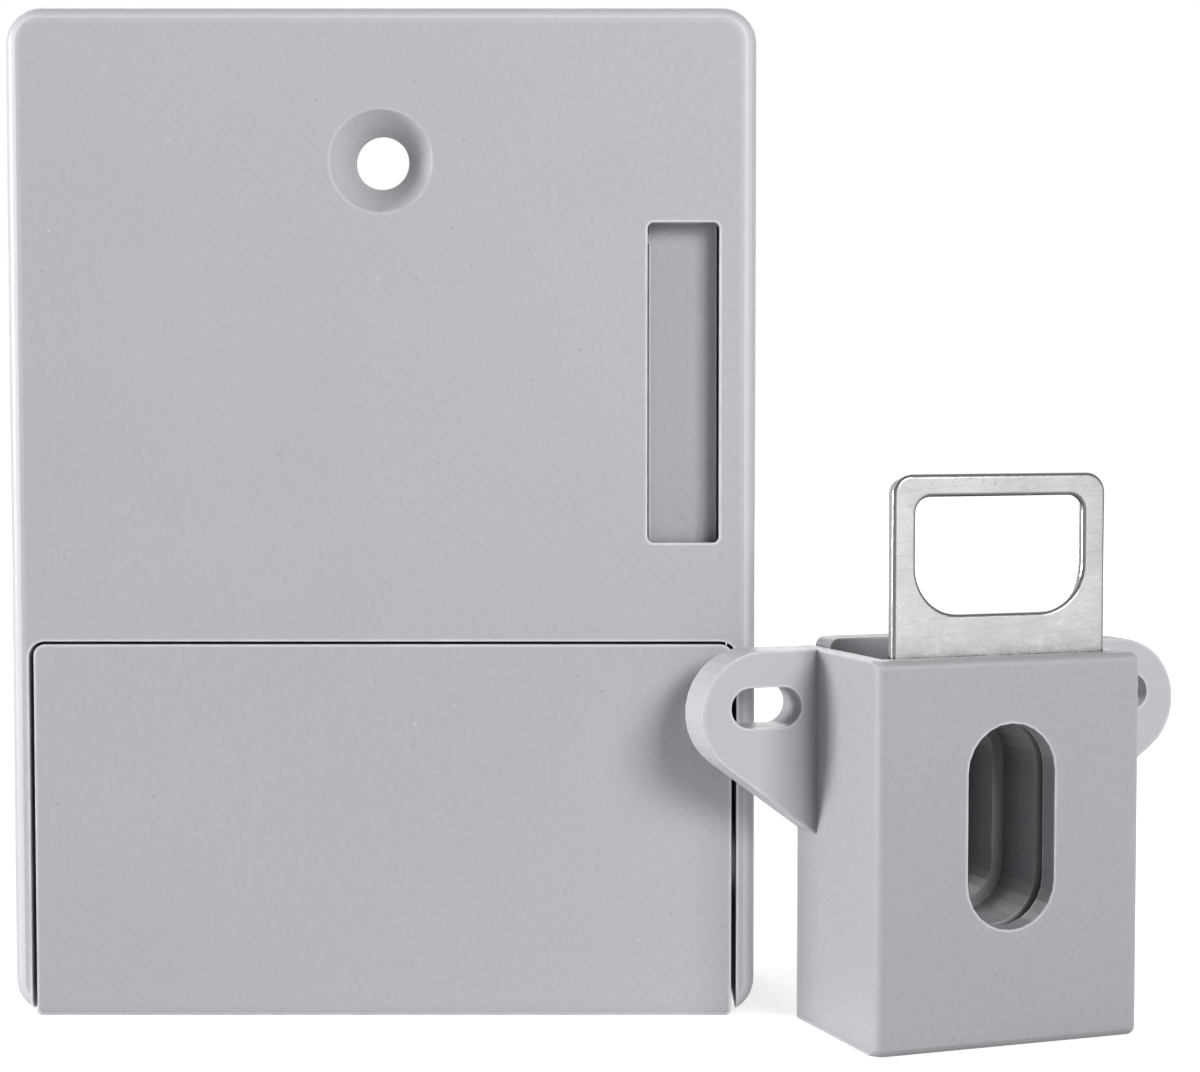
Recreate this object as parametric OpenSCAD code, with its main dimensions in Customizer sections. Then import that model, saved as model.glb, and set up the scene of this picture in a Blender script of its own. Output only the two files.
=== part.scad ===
/* [Lock body] */
// Width of the lock body
lock_w = 74; // [72:1:90]
// Height of the lock body
lock_h = 100; // [98:1:120]
// Depth of the lock body
lock_d = 21; // [21:0.5:26]
// Corner radius of the lock body, seen from the front
corner_r = 3.5; // [2.5:0.5:5]
// Rounding of the edge between the front and the sides
edge_r = 1.6; // [0.8:0.2:1.8]
// Thickness of the side and top walls
side_wall = 1.85; // [1.5:0.05:2]
// Thickness of the front wall
front_wall = 2; // [1.8:0.1:2.4]
// Thickness of the back cover
back_t = 1.6; // [1.4:0.1:1.8]
// Gap between the back cover and the walls round it
back_gap = 0.15; // [0.1:0.05:0.3]

/* [Mounting holes of the lock] */
// Diameter of the countersunk hole at the top
screw_hole_d = 5.3; // [4:0.1:6]
// Diameter of its countersink at the front face
sink_d = 10.2; // [9:0.2:11]
// Distance from the top of the body down to the hole
screw_from_top = 15.1; // [13:0.1:16]
// Diameter of the wider bore behind that hole
screw_bore_d = 10.2; // [8.5:0.1:10.6]
// Thickness of the seat between the countersink and that bore
screw_seat_t = 1.2; // [0.8:0.1:2]
// Wall of the tube round the bore
tower_wall = 1.2; // [1:0.1:1.8]
// Diameter of the two holes inside the battery bay
bay_hole_d = 4.2; // [3:0.1:4.6]
// Distance from the bottom of the body up to these holes
bay_hole_rise = 12; // [10:0.5:16]
// Width of the raised ring round each of these holes
bay_ring = 1.9; // [1:0.1:2.2]

/* [Slot for the tongue] */
// Width of the slot
slot_w = 7.1; // [6:0.1:7.4]
// Height of the slot
slot_h = 31.6; // [28:0.2:34]
// Distance from the right side of the body to the middle of the slot
slot_side = 7.2; // [6.8:0.1:8]
// Distance from the top of the body to the middle of the slot
slot_from_top = 36.9; // [34:0.1:38]
// Corner radius of the slot
slot_r = 0.6; // [0.3:0.1:1]
// Depth of the pusher's face below the front of the body
pusher_sink = 2.5; // [2.3:0.1:3]
// Travel of the pusher into the body
pusher_travel = 13; // [10:0.5:13]

/* [Battery door] */
// Height of the battery door's opening
door_h = 37.5; // [37:0.1:40]
// Thickness of the battery door
door_t = 1.8; // [1.4:0.1:2]
// Gap beside the battery door
door_side_gap = 0.5; // [0.3:0.05:0.7]
// Gap above the battery door
door_top_gap = 0.3; // [0.2:0.05:0.5]
// Radius of the upper corners of the battery door
door_r = 1.6; // [1:0.1:2.4]

/* [Battery cells] */
// Diameter of one AAA cell
cell_d = 10.5; // [10:0.1:10.6]
// Length of one AAA cell with its nub
cell_l = 44.5; // [43.5:0.1:45]
// Number of cells
cell_count = 3; // [3]

/* [Bolt and drive] */
// Thickness of the bolt from front to back
bolt_t = 5.4; // [4.8:0.1:5.6]
// Height of the bolt
bolt_h = 10; // [8:0.5:10.5]
// Travel of the bolt across the slot
bolt_travel = 8.7; // [8:0.1:8.8]
// Diameter of the lead screw
lead_screw_d = 2.8; // [2.4:0.1:3]
// Teeth of the gear on the lead screw
gear_teeth = 28; // [24:1:28]
// Teeth of the pinion on the motor
pinion_teeth = 10; // [9:1:12]
// Gear module, the pitch diameter per tooth
gear_module = 0.34; // [0.32:0.01:0.34]
// Diameter of the motor across its round sides
motor_d = 12; // [11:0.1:12]
// Thickness of the motor across its flats
motor_flat = 10; // [9:0.1:10]
// Length of the motor can
motor_l = 12.4; // [10:0.2:13]

/* [Keeper case] */
// Width of the keeper case
keeper_w = 28; // [27:0.5:32]
// Height of the keeper case
keeper_h = 37.2; // [36:0.2:44]
// Depth of the keeper case
keeper_d = 18.1; // [17.5:0.1:21]
// Rounding of its front edges
keeper_edge_r = 0.9; // [0.5:0.1:1.4]
// Thickness of its side and bottom walls
keeper_wall = 1.5; // [1.2:0.1:1.8]
// Thickness of its front wall
keeper_front = 2.3; // [1.8:0.1:2.6]
// Width of the round-ended window in its front
window_w = 9.2; // [8:0.2:10]
// Height of that window
window_h = 19.7; // [17:0.1:20]
// Height of the middle of that window above the keeper's bottom
window_z = 21.1; // [20:0.1:22]

/* [Keeper ears] */
// Full width across both ears
ears_w = 52; // [50:0.5:56]
// Radius of the round end of an ear
ear_r = 6.2; // [5.5:0.1:7]
// Thickness of an ear from front to back
ear_t = 4.5; // [3:0.1:6]
// Height of an ear where it meets the case
ear_h = 18.1; // [15:0.1:22]
// Distance from the keeper's top to the ear holes
ear_hole_drop = 5.5; // [5:0.1:7]
// Diameter of the round hole in the right ear
ear_hole_d = 3.8; // [3:0.1:4.4]
// Distance from the keeper's middle to that hole
ear_hole_x = 21.1; // [20:0.1:22]
// Length of the slot in the left ear
ear_slot_l = 7.4; // [6:0.1:7.6]
// Width of the slot in the left ear
ear_slot_w = 3.9; // [3:0.1:4.4]
// Distance from the keeper's middle to the middle of the slot
ear_slot_x = 19.3; // [19:0.1:20]

/* [Steel tongue] */
// Width of the tongue
tongue_w = 22.7; // [20:0.1:23]
// Thickness of the tongue
tongue_t = 1.3; // [1:0.1:1.5]
// Height of the tongue above the keeper case
tongue_rise = 17.3; // [16:0.1:18]
// Radius of the tongue's upper corners
tongue_r = 2; // [1:0.1:3]
// Width of the opening in the tongue
eye_w = 17.8; // [14:0.1:18]
// Lower edge of that opening above the keeper case
eye_low = 4; // [3:0.1:5]
// Upper edge of that opening above the keeper case
eye_high = 15.1; // [14:0.1:15.2]
// Radius of the opening's upper corners
eye_top_r = 1.5; // [1:0.1:3]
// Radius of the opening's lower corners
eye_low_r = 4.5; // [2:0.1:5]
// Gap between the tongue and the lip in front of it
lip_gap = 0.2; // [0.15:0.05:0.3]
// Adjustment of the tongue up and down from the middle
tongue_adjust = 5; // [3:0.5:5]

/* [Place of the keeper] */
// Distance of the keeper's middle to the right of the lock's middle
keeper_side = 60.5; // [60:0.5:80]
// Distance of the keeper's front ahead of the lock's front
keeper_ahead = 13; // [13:0.5:40]
// Turn of the keeper about its upright axis, in degrees
keeper_turn = 20; // [0:1:20]

/* [Hidden] */

// Facets of round shapes and steps of one rounded corner
$fn = 48;
hull_facets = 32;
corner_steps = 6;
// Length by which every cut runs past the solid that it cuts
over = 0.5;
// Gap between pieces that slide or turn in each other
run_gap = 0.1;
// Gap between a screw and its hole
screw_gap = 0.05;
// Gap between fixed pieces that stand beside each other
still_gap = 0.3;

// Lock body
half_w = lock_w / 2;
half_h = lock_h / 2;
inner_half_w = half_w - side_wall;
inner_top = half_h - side_wall;
front_in = -lock_d + front_wall;
back_in = -back_t;
bay_top = -half_h + door_h;
bay_wall = 1.5;
cavity_low = bay_top + bay_wall;
inner_r = corner_r - side_wall;

// Mounting holes
screw_z = half_h - screw_from_top;
tower_r = screw_bore_d / 2 + tower_wall;
sink_depth = (sink_d - screw_hole_d) / 2;
bay_hole_z = -half_h + bay_hole_rise;
bay_ring_h = 1.5;
bay_sink_d = 7.4;

// Screws that hold the back cover, a self-tapping kind
cover_screw_in = 5.6;
cover_boss_r = 2.9;
cover_screw_r = 1.1;
cover_screw_l = 8;
cover_head_r = 1.9;
cover_head_t = 0.9;
cover_screw_x = half_w - cover_screw_in;
cover_screw_high = half_h - cover_screw_in;
cover_boss_sink = 0.4;
cover_screw_low = cavity_low + cover_boss_r - cover_boss_sink;

// Slot, its well and the pusher
slot_x = half_w - slot_side;
slot_z = half_h - slot_from_top;
well_wall = 1.2;
pusher_gap = 0.15;
pusher_t = 1.5;
pusher_ear = 0.7;
groove = pusher_ear + still_gap;
pusher_y = -lock_d + pusher_sink;
pusher_w = slot_w - 2 * pusher_gap;
pusher_h = slot_h + 2 * pusher_ear;
well_left = slot_x - slot_w / 2;
well_right = slot_x + slot_w / 2;
well_high = slot_z + slot_h / 2 + groove;
well_low = slot_z - slot_h / 2 - groove;
well_back = back_in - 0.6 * still_gap;

// Springs behind the pusher
spring_wide_r = 2.5;
spring_tip_r = 1.9;
spring_wire = 0.5;
spring_inset = 3.2;
spring_peg_clear = 0.9;
spring_peg_h = back_in - pusher_y - pusher_t - pusher_travel - spring_peg_clear;

// Frame of the mechanism
frame_t = 1.3;
bed_t = 0.95;
rib_t = 1.2;
frame_floor = front_in + frame_t;
drive_y = frame_floor + bed_t + motor_flat / 2;
drive_z = slot_z;

// Gears, lead screw and motor
gear_r = gear_module * gear_teeth / 2;
pinion_r = gear_module * pinion_teeth / 2;
tip_share = 0.95;
root_share = 1.3;
tooth_shares = [-0.29, -0.11, 0.11, 0.29];
gear_t = 2.5;
gear_hub_r = 2.3;
gear_hub_l = 1.5;
motor_z = drive_z + gear_r + pinion_r;
shaft_r = 0.75;
shaft_deep = 2;
end_cap_l = 2.6;
tab_w = 1.6;
tab_t = 0.4;
tab_l = 1.8;
journal_r = 1;
bush_wall = 0.95;
bush_far_l = 1.8;
bush_near_l = 1.2;
boss_wall = 0.8;

// Bolt and nut, drawn back
bolt_hide = 0.65;
bolt_gap = 0.15;
bolt_tip_x = well_left - bolt_hide;
nut_l = 4;
guide_l = 7.55;
// Lengths left between the bolt, its guide, the end of the lead screw and the gear
bolt_heel = 1;
screw_end_gap = 0.35;
hub_gap = 0.4;
motor_gap = 0.8;
bore_room = 0.2;
guide_left = well_left - well_wall - guide_l;
nut_run_gap = 0.3;
screw_end_x = guide_left - bolt_gap - screw_end_gap;
bolt_rear_x = guide_left - bolt_heel - bolt_travel;
nut_rear_x = bolt_rear_x - nut_l;
near_wall_x = nut_rear_x - nut_run_gap - bush_near_l;
gear_x = near_wall_x - nut_run_gap - gear_t;
far_wall_x = gear_x - gear_hub_l - hub_gap - bush_far_l;
motor_x = far_wall_x - motor_gap;
bolt_bore_r = lead_screw_d / 2 + bore_room;
bolt_chamfer = 0.8;
nut_screw_r = 0.8;
nut_screw_l = 6;
nut_head_r = 1.35;
nut_head_t = 1;
nut_screw_in = 1.7;
nut_screw_off = bolt_h / 2 - nut_screw_in;

// Cups of the frame that sit over the front cover's bosses
boss_r = 1.9;
boss_h = 5;
cup_gap = 0.15;
cup_wall = 1;
cup_top = 1.2;
cup_r = boss_r + cup_gap + cup_wall;
frame_screw_r = 0.9;
frame_screw_l = 4;
frame_head_r = 1.8;
frame_head_t = 1;
cup_off = 9.6;
cup_in = 2.45;
cup_side = 5.8;
cup_places = [
    [motor_x - motor_l + cup_in, motor_z + cup_off],
    [motor_x - motor_l + cup_in, motor_z - cup_off],
    [guide_left + cup_r, drive_z + bolt_h / 2 + cup_side],
    [guide_left + cup_r, drive_z - bolt_h / 2 - cup_side]
];

// Circuit board
board_t = 1.2;
board_lift = 3.5;
board_back = back_in - board_lift;
board_front = board_back - board_t;
board_edge = 0.85;
board_left = -inner_half_w + board_edge;
board_well_gap = 2.65;
board_right = well_left - well_wall - board_well_gap;
board_high = inner_top - board_edge;
board_low_gap = 1.5;
board_low = cavity_low + board_low_gap;
board_r = 1;
board_notch = cover_boss_r + still_gap;
board_w = board_right - board_left;
board_h = board_high - board_low;
post_r = 2.4;
board_screw_r = 1;
board_screw_l = 7;
board_head_r = 1.9;
board_head_t = 1.1;
// Places of the four posts, as shares of the board's width and height
post_shares = [[0.0935, 0.837], [0.0935, 0.196], [0.897, 0.925], [0.808, 0.075]];
board_posts = [for (s = post_shares) board_place(s)];

// Battery bay
pad_t = 0.5;
cell_r = cell_d / 2;
cell_gap = 0.5;
cell_pitch = cell_d + cell_gap;
cell_y = -lock_d + door_t + pad_t + run_gap + cell_r;
cell_nub_r = 1.9;
cell_nub_l = 0.8;
tray_wall = 1.3;
contact_room = 2.2;
contact_t = 0.4;
tray_rim = 1;
tray_floor_t = 1.2;
cell_seat_gap = 0.2;
tray_floor_y = cell_y + cell_r + cell_seat_gap;
tray_front = cell_y - 0.6 * cell_r;
tray_in = cell_l / 2 + contact_room;
tray_half_w = tray_in + tray_wall;
tray_half_h = cell_count * cell_pitch / 2 + tray_rim;
door_bottom_t = 1.7;
door_half_w = inner_half_w - door_side_gap;
door_top = bay_top - door_top_gap;
door_rib_t = 0.8;
door_rib_h = 4;
door_rib_in = 0.3;
pad_w = 34;
pad_edge = 3;
cells_z = -half_h + door_bottom_t + still_gap + tray_half_h;
tray_rib_w = 2;
tray_rib_h = 1.9;
tray_boss_r = 2.5;
tray_screw_in = 4;
tray_screw_x = tray_in - tray_screw_in;
strip_x = (tray_half_w + inner_half_w) / 2;
contact_w = 9;
contact_h = 8;
tab_half_w = 1;
tab_reach = 1.6;
tab_y = tray_floor_y + tray_floor_t + tab_reach;
contact_spring_r = 3.5;

// Setting button
button_drop = 8.5;
button_z = bay_top - button_drop;
switch_board_w = 8;
switch_board_h = 12;
switch_board_t = 1.2;
switch_board_lift = 1.4;
switch_post_r = 1.1;
switch_post_in = 1.3;
switch_w = 6;
switch_h = 3.1;
button_r = 1.75;
button_rise = 1.7;
button_travel = 0.3;
button_seat = 0.7;
switch_front = back_in - switch_board_lift - switch_board_t - switch_h;

// Closing sensor and the pusher's flag
flag_t = 1;
flag_reach = 2.7;
flag_past = 0.4;
flag_in = 1.5;
flag_z = slot_z + slot_h / 2 - flag_in;
sensor_arm = 1.8;
sensor_gap = 0.5;
sensor_h = 2.7;
sensor_body = 2.9;
flag_l = board_back + sensor_h + flag_past - pusher_y - pusher_travel;

// Parts on the circuit board: places in shares of the board, and sizes as width, height, thickness
controller_share = [0.115, 0.53];
controller_size = [9, 9, 1.4];
reader_share = [0.115, 0.335];
reader_size = [6, 8, 1.5];
driver_share = [0.57, 0.235];
driver_size = [7, 4.4, 1.5];
crystal_share = [0.18, 0.705];
crystal_size = [9, 3.4, 3.4];
capacitor_shares = [[0.93, 0.785], [0.8, 0.81]];
capacitor_r = 2.5;
capacitor_l = 7;
buzzer_share = [0.25, 0.87];
buzzer_r = 4.5;
buzzer_l = 5;
buzzer_hole_r = 0.8;
coil_share = [0.39, 0.41];
coil_r = 17;
coil_w = 2.2;
coil_t = 2;

// Sockets for the battery, motor and button leads
battery_socket_share = [0.64, 0.06];
button_socket_share = [0.925, 0.06];
socket_size = [6.4, 4.6, 4.4];
socket_gap = 3.8;
motor_socket_z = motor_z + motor_d / 2 + socket_gap + socket_size[1] / 2;
motor_socket_share = [0.4, (motor_socket_z - board_low) / board_h];
socket_wall = 0.7;

// Leads, each a run of straight stretches between named places
lead_r = 0.45;
lead_bend_share = 1.07;
lead_bend_r = lead_bend_share * lead_r;
lead_facets = 16;
lead_half_gap = 0.65;
lead_lift = 1.5;
lead_seat = 0.6;
lead_end_y = board_front - socket_wall - lead_seat;
lead_turn_y = board_front - socket_size[2] - lead_lift;
lead_notch_w = 2.9;
lead_notch_d = 3;
lead_notch_y = back_in - lead_notch_d / 2;
lead_rise_z = (cavity_low + board_low) / 2;
lead_under = 2;
lead_under_z = bay_top - lead_under;
button_notch_x = strip_x - switch_board_w / 2 + lead_half_gap + 1.1 * lead_r;
lead_notches = [board_place(battery_socket_share)[0], button_notch_x];

// Keeper, in its own frame: x across, y from front to back, z up
keeper_half_w = keeper_w / 2;
window_r = window_w / 2;
window_arc = window_h / 2 - window_r;
tongue_front = keeper_front + lip_gap;
tongue_back = tongue_front + tongue_t;
tongue_floor_gap = 0.5;
tongue_low = keeper_wall + tongue_adjust + tongue_floor_gap;
tongue_top = keeper_h + tongue_rise;
holder_gap = 0.35;
holder_half_w = keeper_half_w - keeper_wall - holder_gap;
holder_back = keeper_d - run_gap;
holder_foot = 1.2;
holder_low = tongue_low + holder_foot;
holder_rise = 0.9;
holder_high = keeper_h + holder_rise;
holder_block_t = 3.4;
holder_block_y = holder_back - holder_block_t;
holder_edge_r = 1;
flange_t = 2;
flange_half_w = tongue_w / 2 + run_gap;
flange_drop = 0.8;
tunnel_r = window_r + run_gap;
tunnel_wall = 1.4;
recess_y = 10.3;
recess_r = 3.5;
clamp_slot_r = 2.3;
clamp_slot_t = 2;
cheek_t = 1.4;
cheek_in = 2;
cheek_low = holder_low + cheek_in;
cheek_drop = 1.8;
cheek_high = keeper_h - cheek_drop;
rivet_r = 1.2;
rivet_head_r = 1.7;
rivet_head_t = 0.8;
rivet_x = 7.9;
rivet_foot = 4;
rivet_low = tongue_low + rivet_foot;
rivet_drop = 3.6;
rivet_high = keeper_h - rivet_drop;

// Points of an arc about c, from angle a to angle b
function arc(c, r, a, b) = [
    for (i = [0 : corner_steps])
        let (t = a + (b - a) * i / corner_steps)
            [c[0] + r * cos(t), c[1] + r * sin(t)]
];

// Outline of a rectangle from corner p to corner q with radius r at its low and s at its high corners
function round_box(p, q, r, s) = concat(
    arc([q[0] - s, q[1] - s], s, 0, 90),
    arc([p[0] + s, q[1] - s], s, 90, 180),
    arc([p[0] + r, p[1] + r], r, 180, 270),
    arc([q[0] - r, p[1] + r], r, 270, 360)
);

// Place on the board, in x and z, at a pair of shares of its width and height
function board_place(share) = [board_left + share[0] * board_w, board_low + share[1] * board_h];

// Outline of an upright slot with round ends, about x = 0
function oval(r, half_arc, z) = concat(
    [for (i = [0 : 2 * corner_steps])
        let (t = 180 * i / (2 * corner_steps)) [r * cos(t), z + half_arc + r * sin(t)]],
    [for (i = [0 : 2 * corner_steps])
        let (t = 180 + 180 * i / (2 * corner_steps)) [r * cos(t), z - half_arc + r * sin(t)]]
);

// Outline of a gear with straight-sided teeth
function gear_outline(teeth, phase) = [
    for (i = [0 : teeth - 1], k = [0 : 3])
        let (a = 360 / teeth * (i + tooth_shares[k] + phase))
        let (tip = k == 1 || k == 2)
        let (r = gear_module * (teeth / 2 + (tip ? tip_share : -root_share)))
            [r * cos(a), r * sin(a)]
];

// A flat shape in x and z, given thickness from y0 to y1
module slab(y0, y1) {
    translate([0, y1, 0])
        rotate([90, 0, 0])
            linear_extrude(y1 - y0)
                children();
}

// A block between two corners
module block(p, q) {
    translate(p)
        cube(q - p);
}

// A round bar along y at (x, z)
module rod_y(x, z, r, y0, y1) {
    translate([x, y1, z])
        rotate([90, 0, 0])
            cylinder(r = r, h = y1 - y0);
}

// A round bar along x at (y, z)
module rod_x(y, z, r, x0, x1) {
    translate([x0, y, z])
        rotate([0, 90, 0])
            cylinder(r = r, h = x1 - x0);
}

// A screw along y whose head rests on y = seat and whose shank runs to the front
module screw_y(x, z, seat, shank_r, shank_l, head_r, head_t) {
    rod_y(x, z, shank_r, seat - shank_l, seat);
    rod_y(x, z, head_r, seat, seat + head_t);
}

// One upright corner of the lock body with its rounded front edge
module corner_post(x, z) {
    translate([x, 0, z])
        rotate([90, 0, 0])
            rotate_extrude($fn = hull_facets)
                polygon(concat(
                    [[0, 0], [corner_r, 0]],
                    arc([corner_r - edge_r, lock_d - edge_r], edge_r, 0, 90),
                    [[0, lock_d]]
                ));
}

// Outer shape of the lock body
module lock_envelope() {
    hull()
        for (sx = [-1, 1], sz = [-1, 1])
            corner_post(sx * (half_w - corner_r), sz * (half_h - corner_r));
}

module front_cover() {
    color("#b9bcc2")
        difference() {
            union() {
                difference() {
                    lock_envelope();
                    slab(front_in, over)
                        polygon(round_box([-inner_half_w, cavity_low], [inner_half_w, inner_top],
                            inner_r, inner_r));
                    slab(back_in, over)
                        polygon(round_box([-inner_half_w, -half_h - over],
                            [inner_half_w, inner_top], inner_r, inner_r));
                    slab(-lock_d - over, over)
                        polygon(concat(
                            arc([inner_half_w - door_r, bay_top - door_r], door_r, 0, 90),
                            arc([door_r - inner_half_w, bay_top - door_r], door_r, 90, 180),
                            [[-inner_half_w, -half_h - over], [inner_half_w, -half_h - over]]
                        ));
                }
                rod_y(0, screw_z, tower_r, front_in, back_in);
                for (sx = [-1, 1], z = [cover_screw_low, cover_screw_high])
                    rod_y(sx * cover_screw_x, z, cover_boss_r, front_in, back_in);
                for (p = board_posts)
                    rod_y(p[0], p[1], post_r, front_in, board_front);
                for (p = cup_places)
                    rod_y(p[0], p[1], boss_r, front_in, front_in + boss_h);
            }
            rod_y(0, screw_z, screw_hole_d / 2, -lock_d - over, over);
            rod_y(0, screw_z, screw_bore_d / 2, sink_depth + screw_seat_t - lock_d, over);
            screw_sink(0, screw_z, -lock_d, sink_d, sink_depth);
            slab(-lock_d - over, front_in + over)
                translate([slot_x, slot_z])
                    polygon(round_box([-slot_w / 2, -slot_h / 2], [slot_w / 2, slot_h / 2], slot_r,
                        slot_r));
            for (sx = [-1, 1], z = [cover_screw_low, cover_screw_high])
                rod_y(sx * cover_screw_x, z, cover_screw_r + screw_gap, back_in - cover_screw_l, over);
            for (p = board_posts)
                rod_y(p[0], p[1], board_screw_r + screw_gap, board_front - board_screw_l,
                    board_front + over);
            for (p = cup_places)
                rod_y(p[0], p[1], frame_screw_r + screw_gap, front_in + boss_h - frame_screw_l,
                    front_in + boss_h + over);
            for (x = lead_notches)
                block([x - lead_notch_w / 2, back_in - lead_notch_d, bay_top - over],
                    [x + lead_notch_w / 2, over, cavity_low + over]);
        }
}

// Cone of a countersink that opens to the front at y
module screw_sink(x, z, y, d, depth) {
    translate([x, y + depth, z])
        rotate([90, 0, 0])
            cylinder(h = depth + over, r1 = d / 2 - depth, r2 = d / 2 + over);
}

module back_cover() {
    color("#aeb1b7")
        difference() {
            union() {
                slab(back_in, 0)
                    polygon(round_box(
                        [-inner_half_w + back_gap, -half_h],
                            [inner_half_w - back_gap, inner_top - back_gap],
                        slot_r, inner_r));
                for (sx = [-1, 1])
                    rod_y(sx * strip_x, bay_hole_z, bay_hole_d / 2 + bay_ring, back_in - bay_ring_h,
                        back_in);
                for (sz = [-1, 1])
                    rod_y(strip_x, button_z + sz * (switch_board_h / 2 - switch_post_in), switch_post_r,
                        back_in - switch_board_lift, back_in);
                for (sz = [-1, 1])
                    rod_y(slot_x, slot_z + sz * (slot_h / 2 - spring_inset),
                        spring_tip_r - spring_wire - run_gap,
                        back_in - spring_peg_h, back_in);
            }
            rod_y(0, screw_z, screw_bore_d / 2, back_in - over, over);
            for (sx = [-1, 1]) {
                rod_y(sx * strip_x, bay_hole_z, bay_hole_d / 2, back_in - bay_ring_h - over, over);
                screw_sink(sx * strip_x, bay_hole_z, back_in - bay_ring_h, bay_sink_d,
                    (bay_sink_d - bay_hole_d) / 2);
            }
            for (sx = [-1, 1], z = [cover_screw_low, cover_screw_high])
                screw_pocket(sx * cover_screw_x, z, cover_screw_r, cover_head_r, cover_head_t);
            for (sx = [-1, 1])
                screw_pocket(sx * tray_screw_x, cells_z, cover_screw_r, cover_head_r, cover_head_t);
        }
}

// Hole through the back cover with a pocket that takes a screw's head
module screw_pocket(x, z, shank_r, head_r, head_t) {
    rod_y(x, z, shank_r + screw_gap, back_in - over, over);
    rod_y(x, z, head_r + screw_gap, -head_t, over);
}

module cover_screws() {
    color("#8f9398")
        for (sx = [-1, 1], z = [cover_screw_low, cover_screw_high])
            screw_y(sx * cover_screw_x, z, -cover_head_t, cover_screw_r,
                cover_screw_l - cover_head_t, cover_head_r, cover_head_t);
}

module tray_screws() {
    color("#8f9398")
        for (sx = [-1, 1])
            screw_y(sx * tray_screw_x, cells_z, -cover_head_t, cover_screw_r,
                -cover_head_t - tray_floor_y - still_gap, cover_head_r, cover_head_t);
}

// Battery door, an angle that covers the front and the bottom of the bay
module battery_door() {
    color("#b9bcc2") {
        slab(-lock_d, -lock_d + door_t)
            polygon(round_box([-door_half_w, -half_h], [door_half_w, door_top], slot_r,
                door_r - door_side_gap));
        block([-door_half_w, -lock_d + door_t, -half_h], [door_half_w, back_in - still_gap,
            -half_h + door_bottom_t]);
        for (sx = [0, 1])
            mirror([sx, 0, 0])
                block(
                    [door_half_w - door_rib_in - door_rib_t, -lock_d + door_t, -half_h + door_bottom_t],
                    [door_half_w - door_rib_in, -lock_d + door_t + door_rib_h, door_top - door_r]);
    }
}

module door_pad() {
    color("#35373b")
        block([-pad_w / 2, -lock_d + door_t, cells_z - tray_half_h + pad_edge],
            [pad_w / 2, -lock_d + door_t + pad_t, cells_z + tray_half_h - pad_edge]);
}

module battery_tray() {
    color("#2c2e31")
        difference() {
            union() {
                difference() {
                    block([-tray_half_w, tray_front, cells_z - tray_half_h],
                        [tray_half_w, tray_floor_y + tray_floor_t, cells_z + tray_half_h]);
                    block([-tray_in, tray_front - over, cells_z - tray_half_h + tray_rim],
                        [tray_in, tray_floor_y, cells_z + tray_half_h - tray_rim]);
                }
                for (sx = [0, 1])
                    mirror([sx, 0, 0])
                        block([tray_in, tray_floor_y, cells_z - tray_half_h],
                            [tray_half_w, back_in, cells_z + tray_half_h]);
                for (i = [1 : cell_count - 1])
                    translate([0, 0, cells_z + (i - cell_count / 2) * cell_pitch])
                        block([-cell_l / 2 + 4 * tray_rib_w, tray_floor_y - tray_rib_h,
                            -tray_rib_w / 2],
                            [cell_l / 2 - 4 * tray_rib_w, tray_floor_y, tray_rib_w / 2]);
                for (sx = [-1, 1])
                    rod_y(sx * tray_screw_x, cells_z, tray_boss_r, tray_floor_y, back_in);
            }
            for (sx = [-1, 1])
                rod_y(sx * tray_screw_x, cells_z, cover_screw_r + screw_gap,
                    tray_floor_y + screw_gap, back_in + over);
            for (side = [-1, 1])
                terminal_tab(side, run_gap);
        }
}

// Runs its children once per cell, turned end for end in every second one
module each_cell() {
    for (i = [0 : cell_count - 1])
        translate([0, cell_y, cells_z + (i - (cell_count - 1) / 2) * cell_pitch])
            rotate([0, 0, 180 * (i % 2)])
                children();
}

module aaa_cells() {
    color("#5f7f92")
        each_cell() {
            rod_x(0, 0, cell_r, -cell_l / 2, cell_l / 2 - cell_nub_l);
            rod_x(0, 0, cell_nub_r, cell_l / 2 - cell_nub_l, cell_l / 2);
        }
}

// Steel plates at both ends of the cells, with a bump at each plus end
module contact_plates() {
    bridge = cell_pitch + contact_w;
    color("#c9cbcd") {
        contact_plate(-1, -1, contact_w);
        contact_plate(1, 1, contact_w);
        for (side = [-1, 1])
            terminal_tab(side, 0);
        contact_plate(-1, 0.5, bridge);
        contact_plate(1, -0.5, bridge);
        each_cell()
            rod_x(0, 0, cell_nub_r, cell_l / 2, tray_in - contact_t);
    }
}

// One plate against the end wall on the given side, at a place counted in cells from the middle
module contact_plate(side, place, w) {
    x = side > 0 ? tray_in - contact_t : -tray_in;
    z = cells_z + place * cell_pitch;
    block([x, cell_y - contact_h / 2, z - w / 2], [x + contact_t, cell_y + contact_h / 2, z + w / 2]);
}

// Tab of the end plate that passes the tray's floor, with room round it for the floor's slot
module terminal_tab(side, room) {
    x = side > 0 ? tray_in - contact_t : -tray_in;
    z = cells_z + side * cell_pitch;
    block([x - room, cell_y, z - tab_half_w - room], [x + contact_t + room, tab_y + room,
        z + tab_half_w + room]);
}

module contact_springs() {
    color("#d6d8da")
        each_cell()
            translate([-cell_l / 2, 0, 0])
                rotate([0, -90, 0])
                    difference() {
                        cylinder(h = contact_room - contact_t, r1 = cell_nub_r, r2 = contact_spring_r);
                        translate([0, 0, -over])
                            cylinder(h = contact_room + over, r = cell_nub_r - spring_wire);
                    }
}

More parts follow.
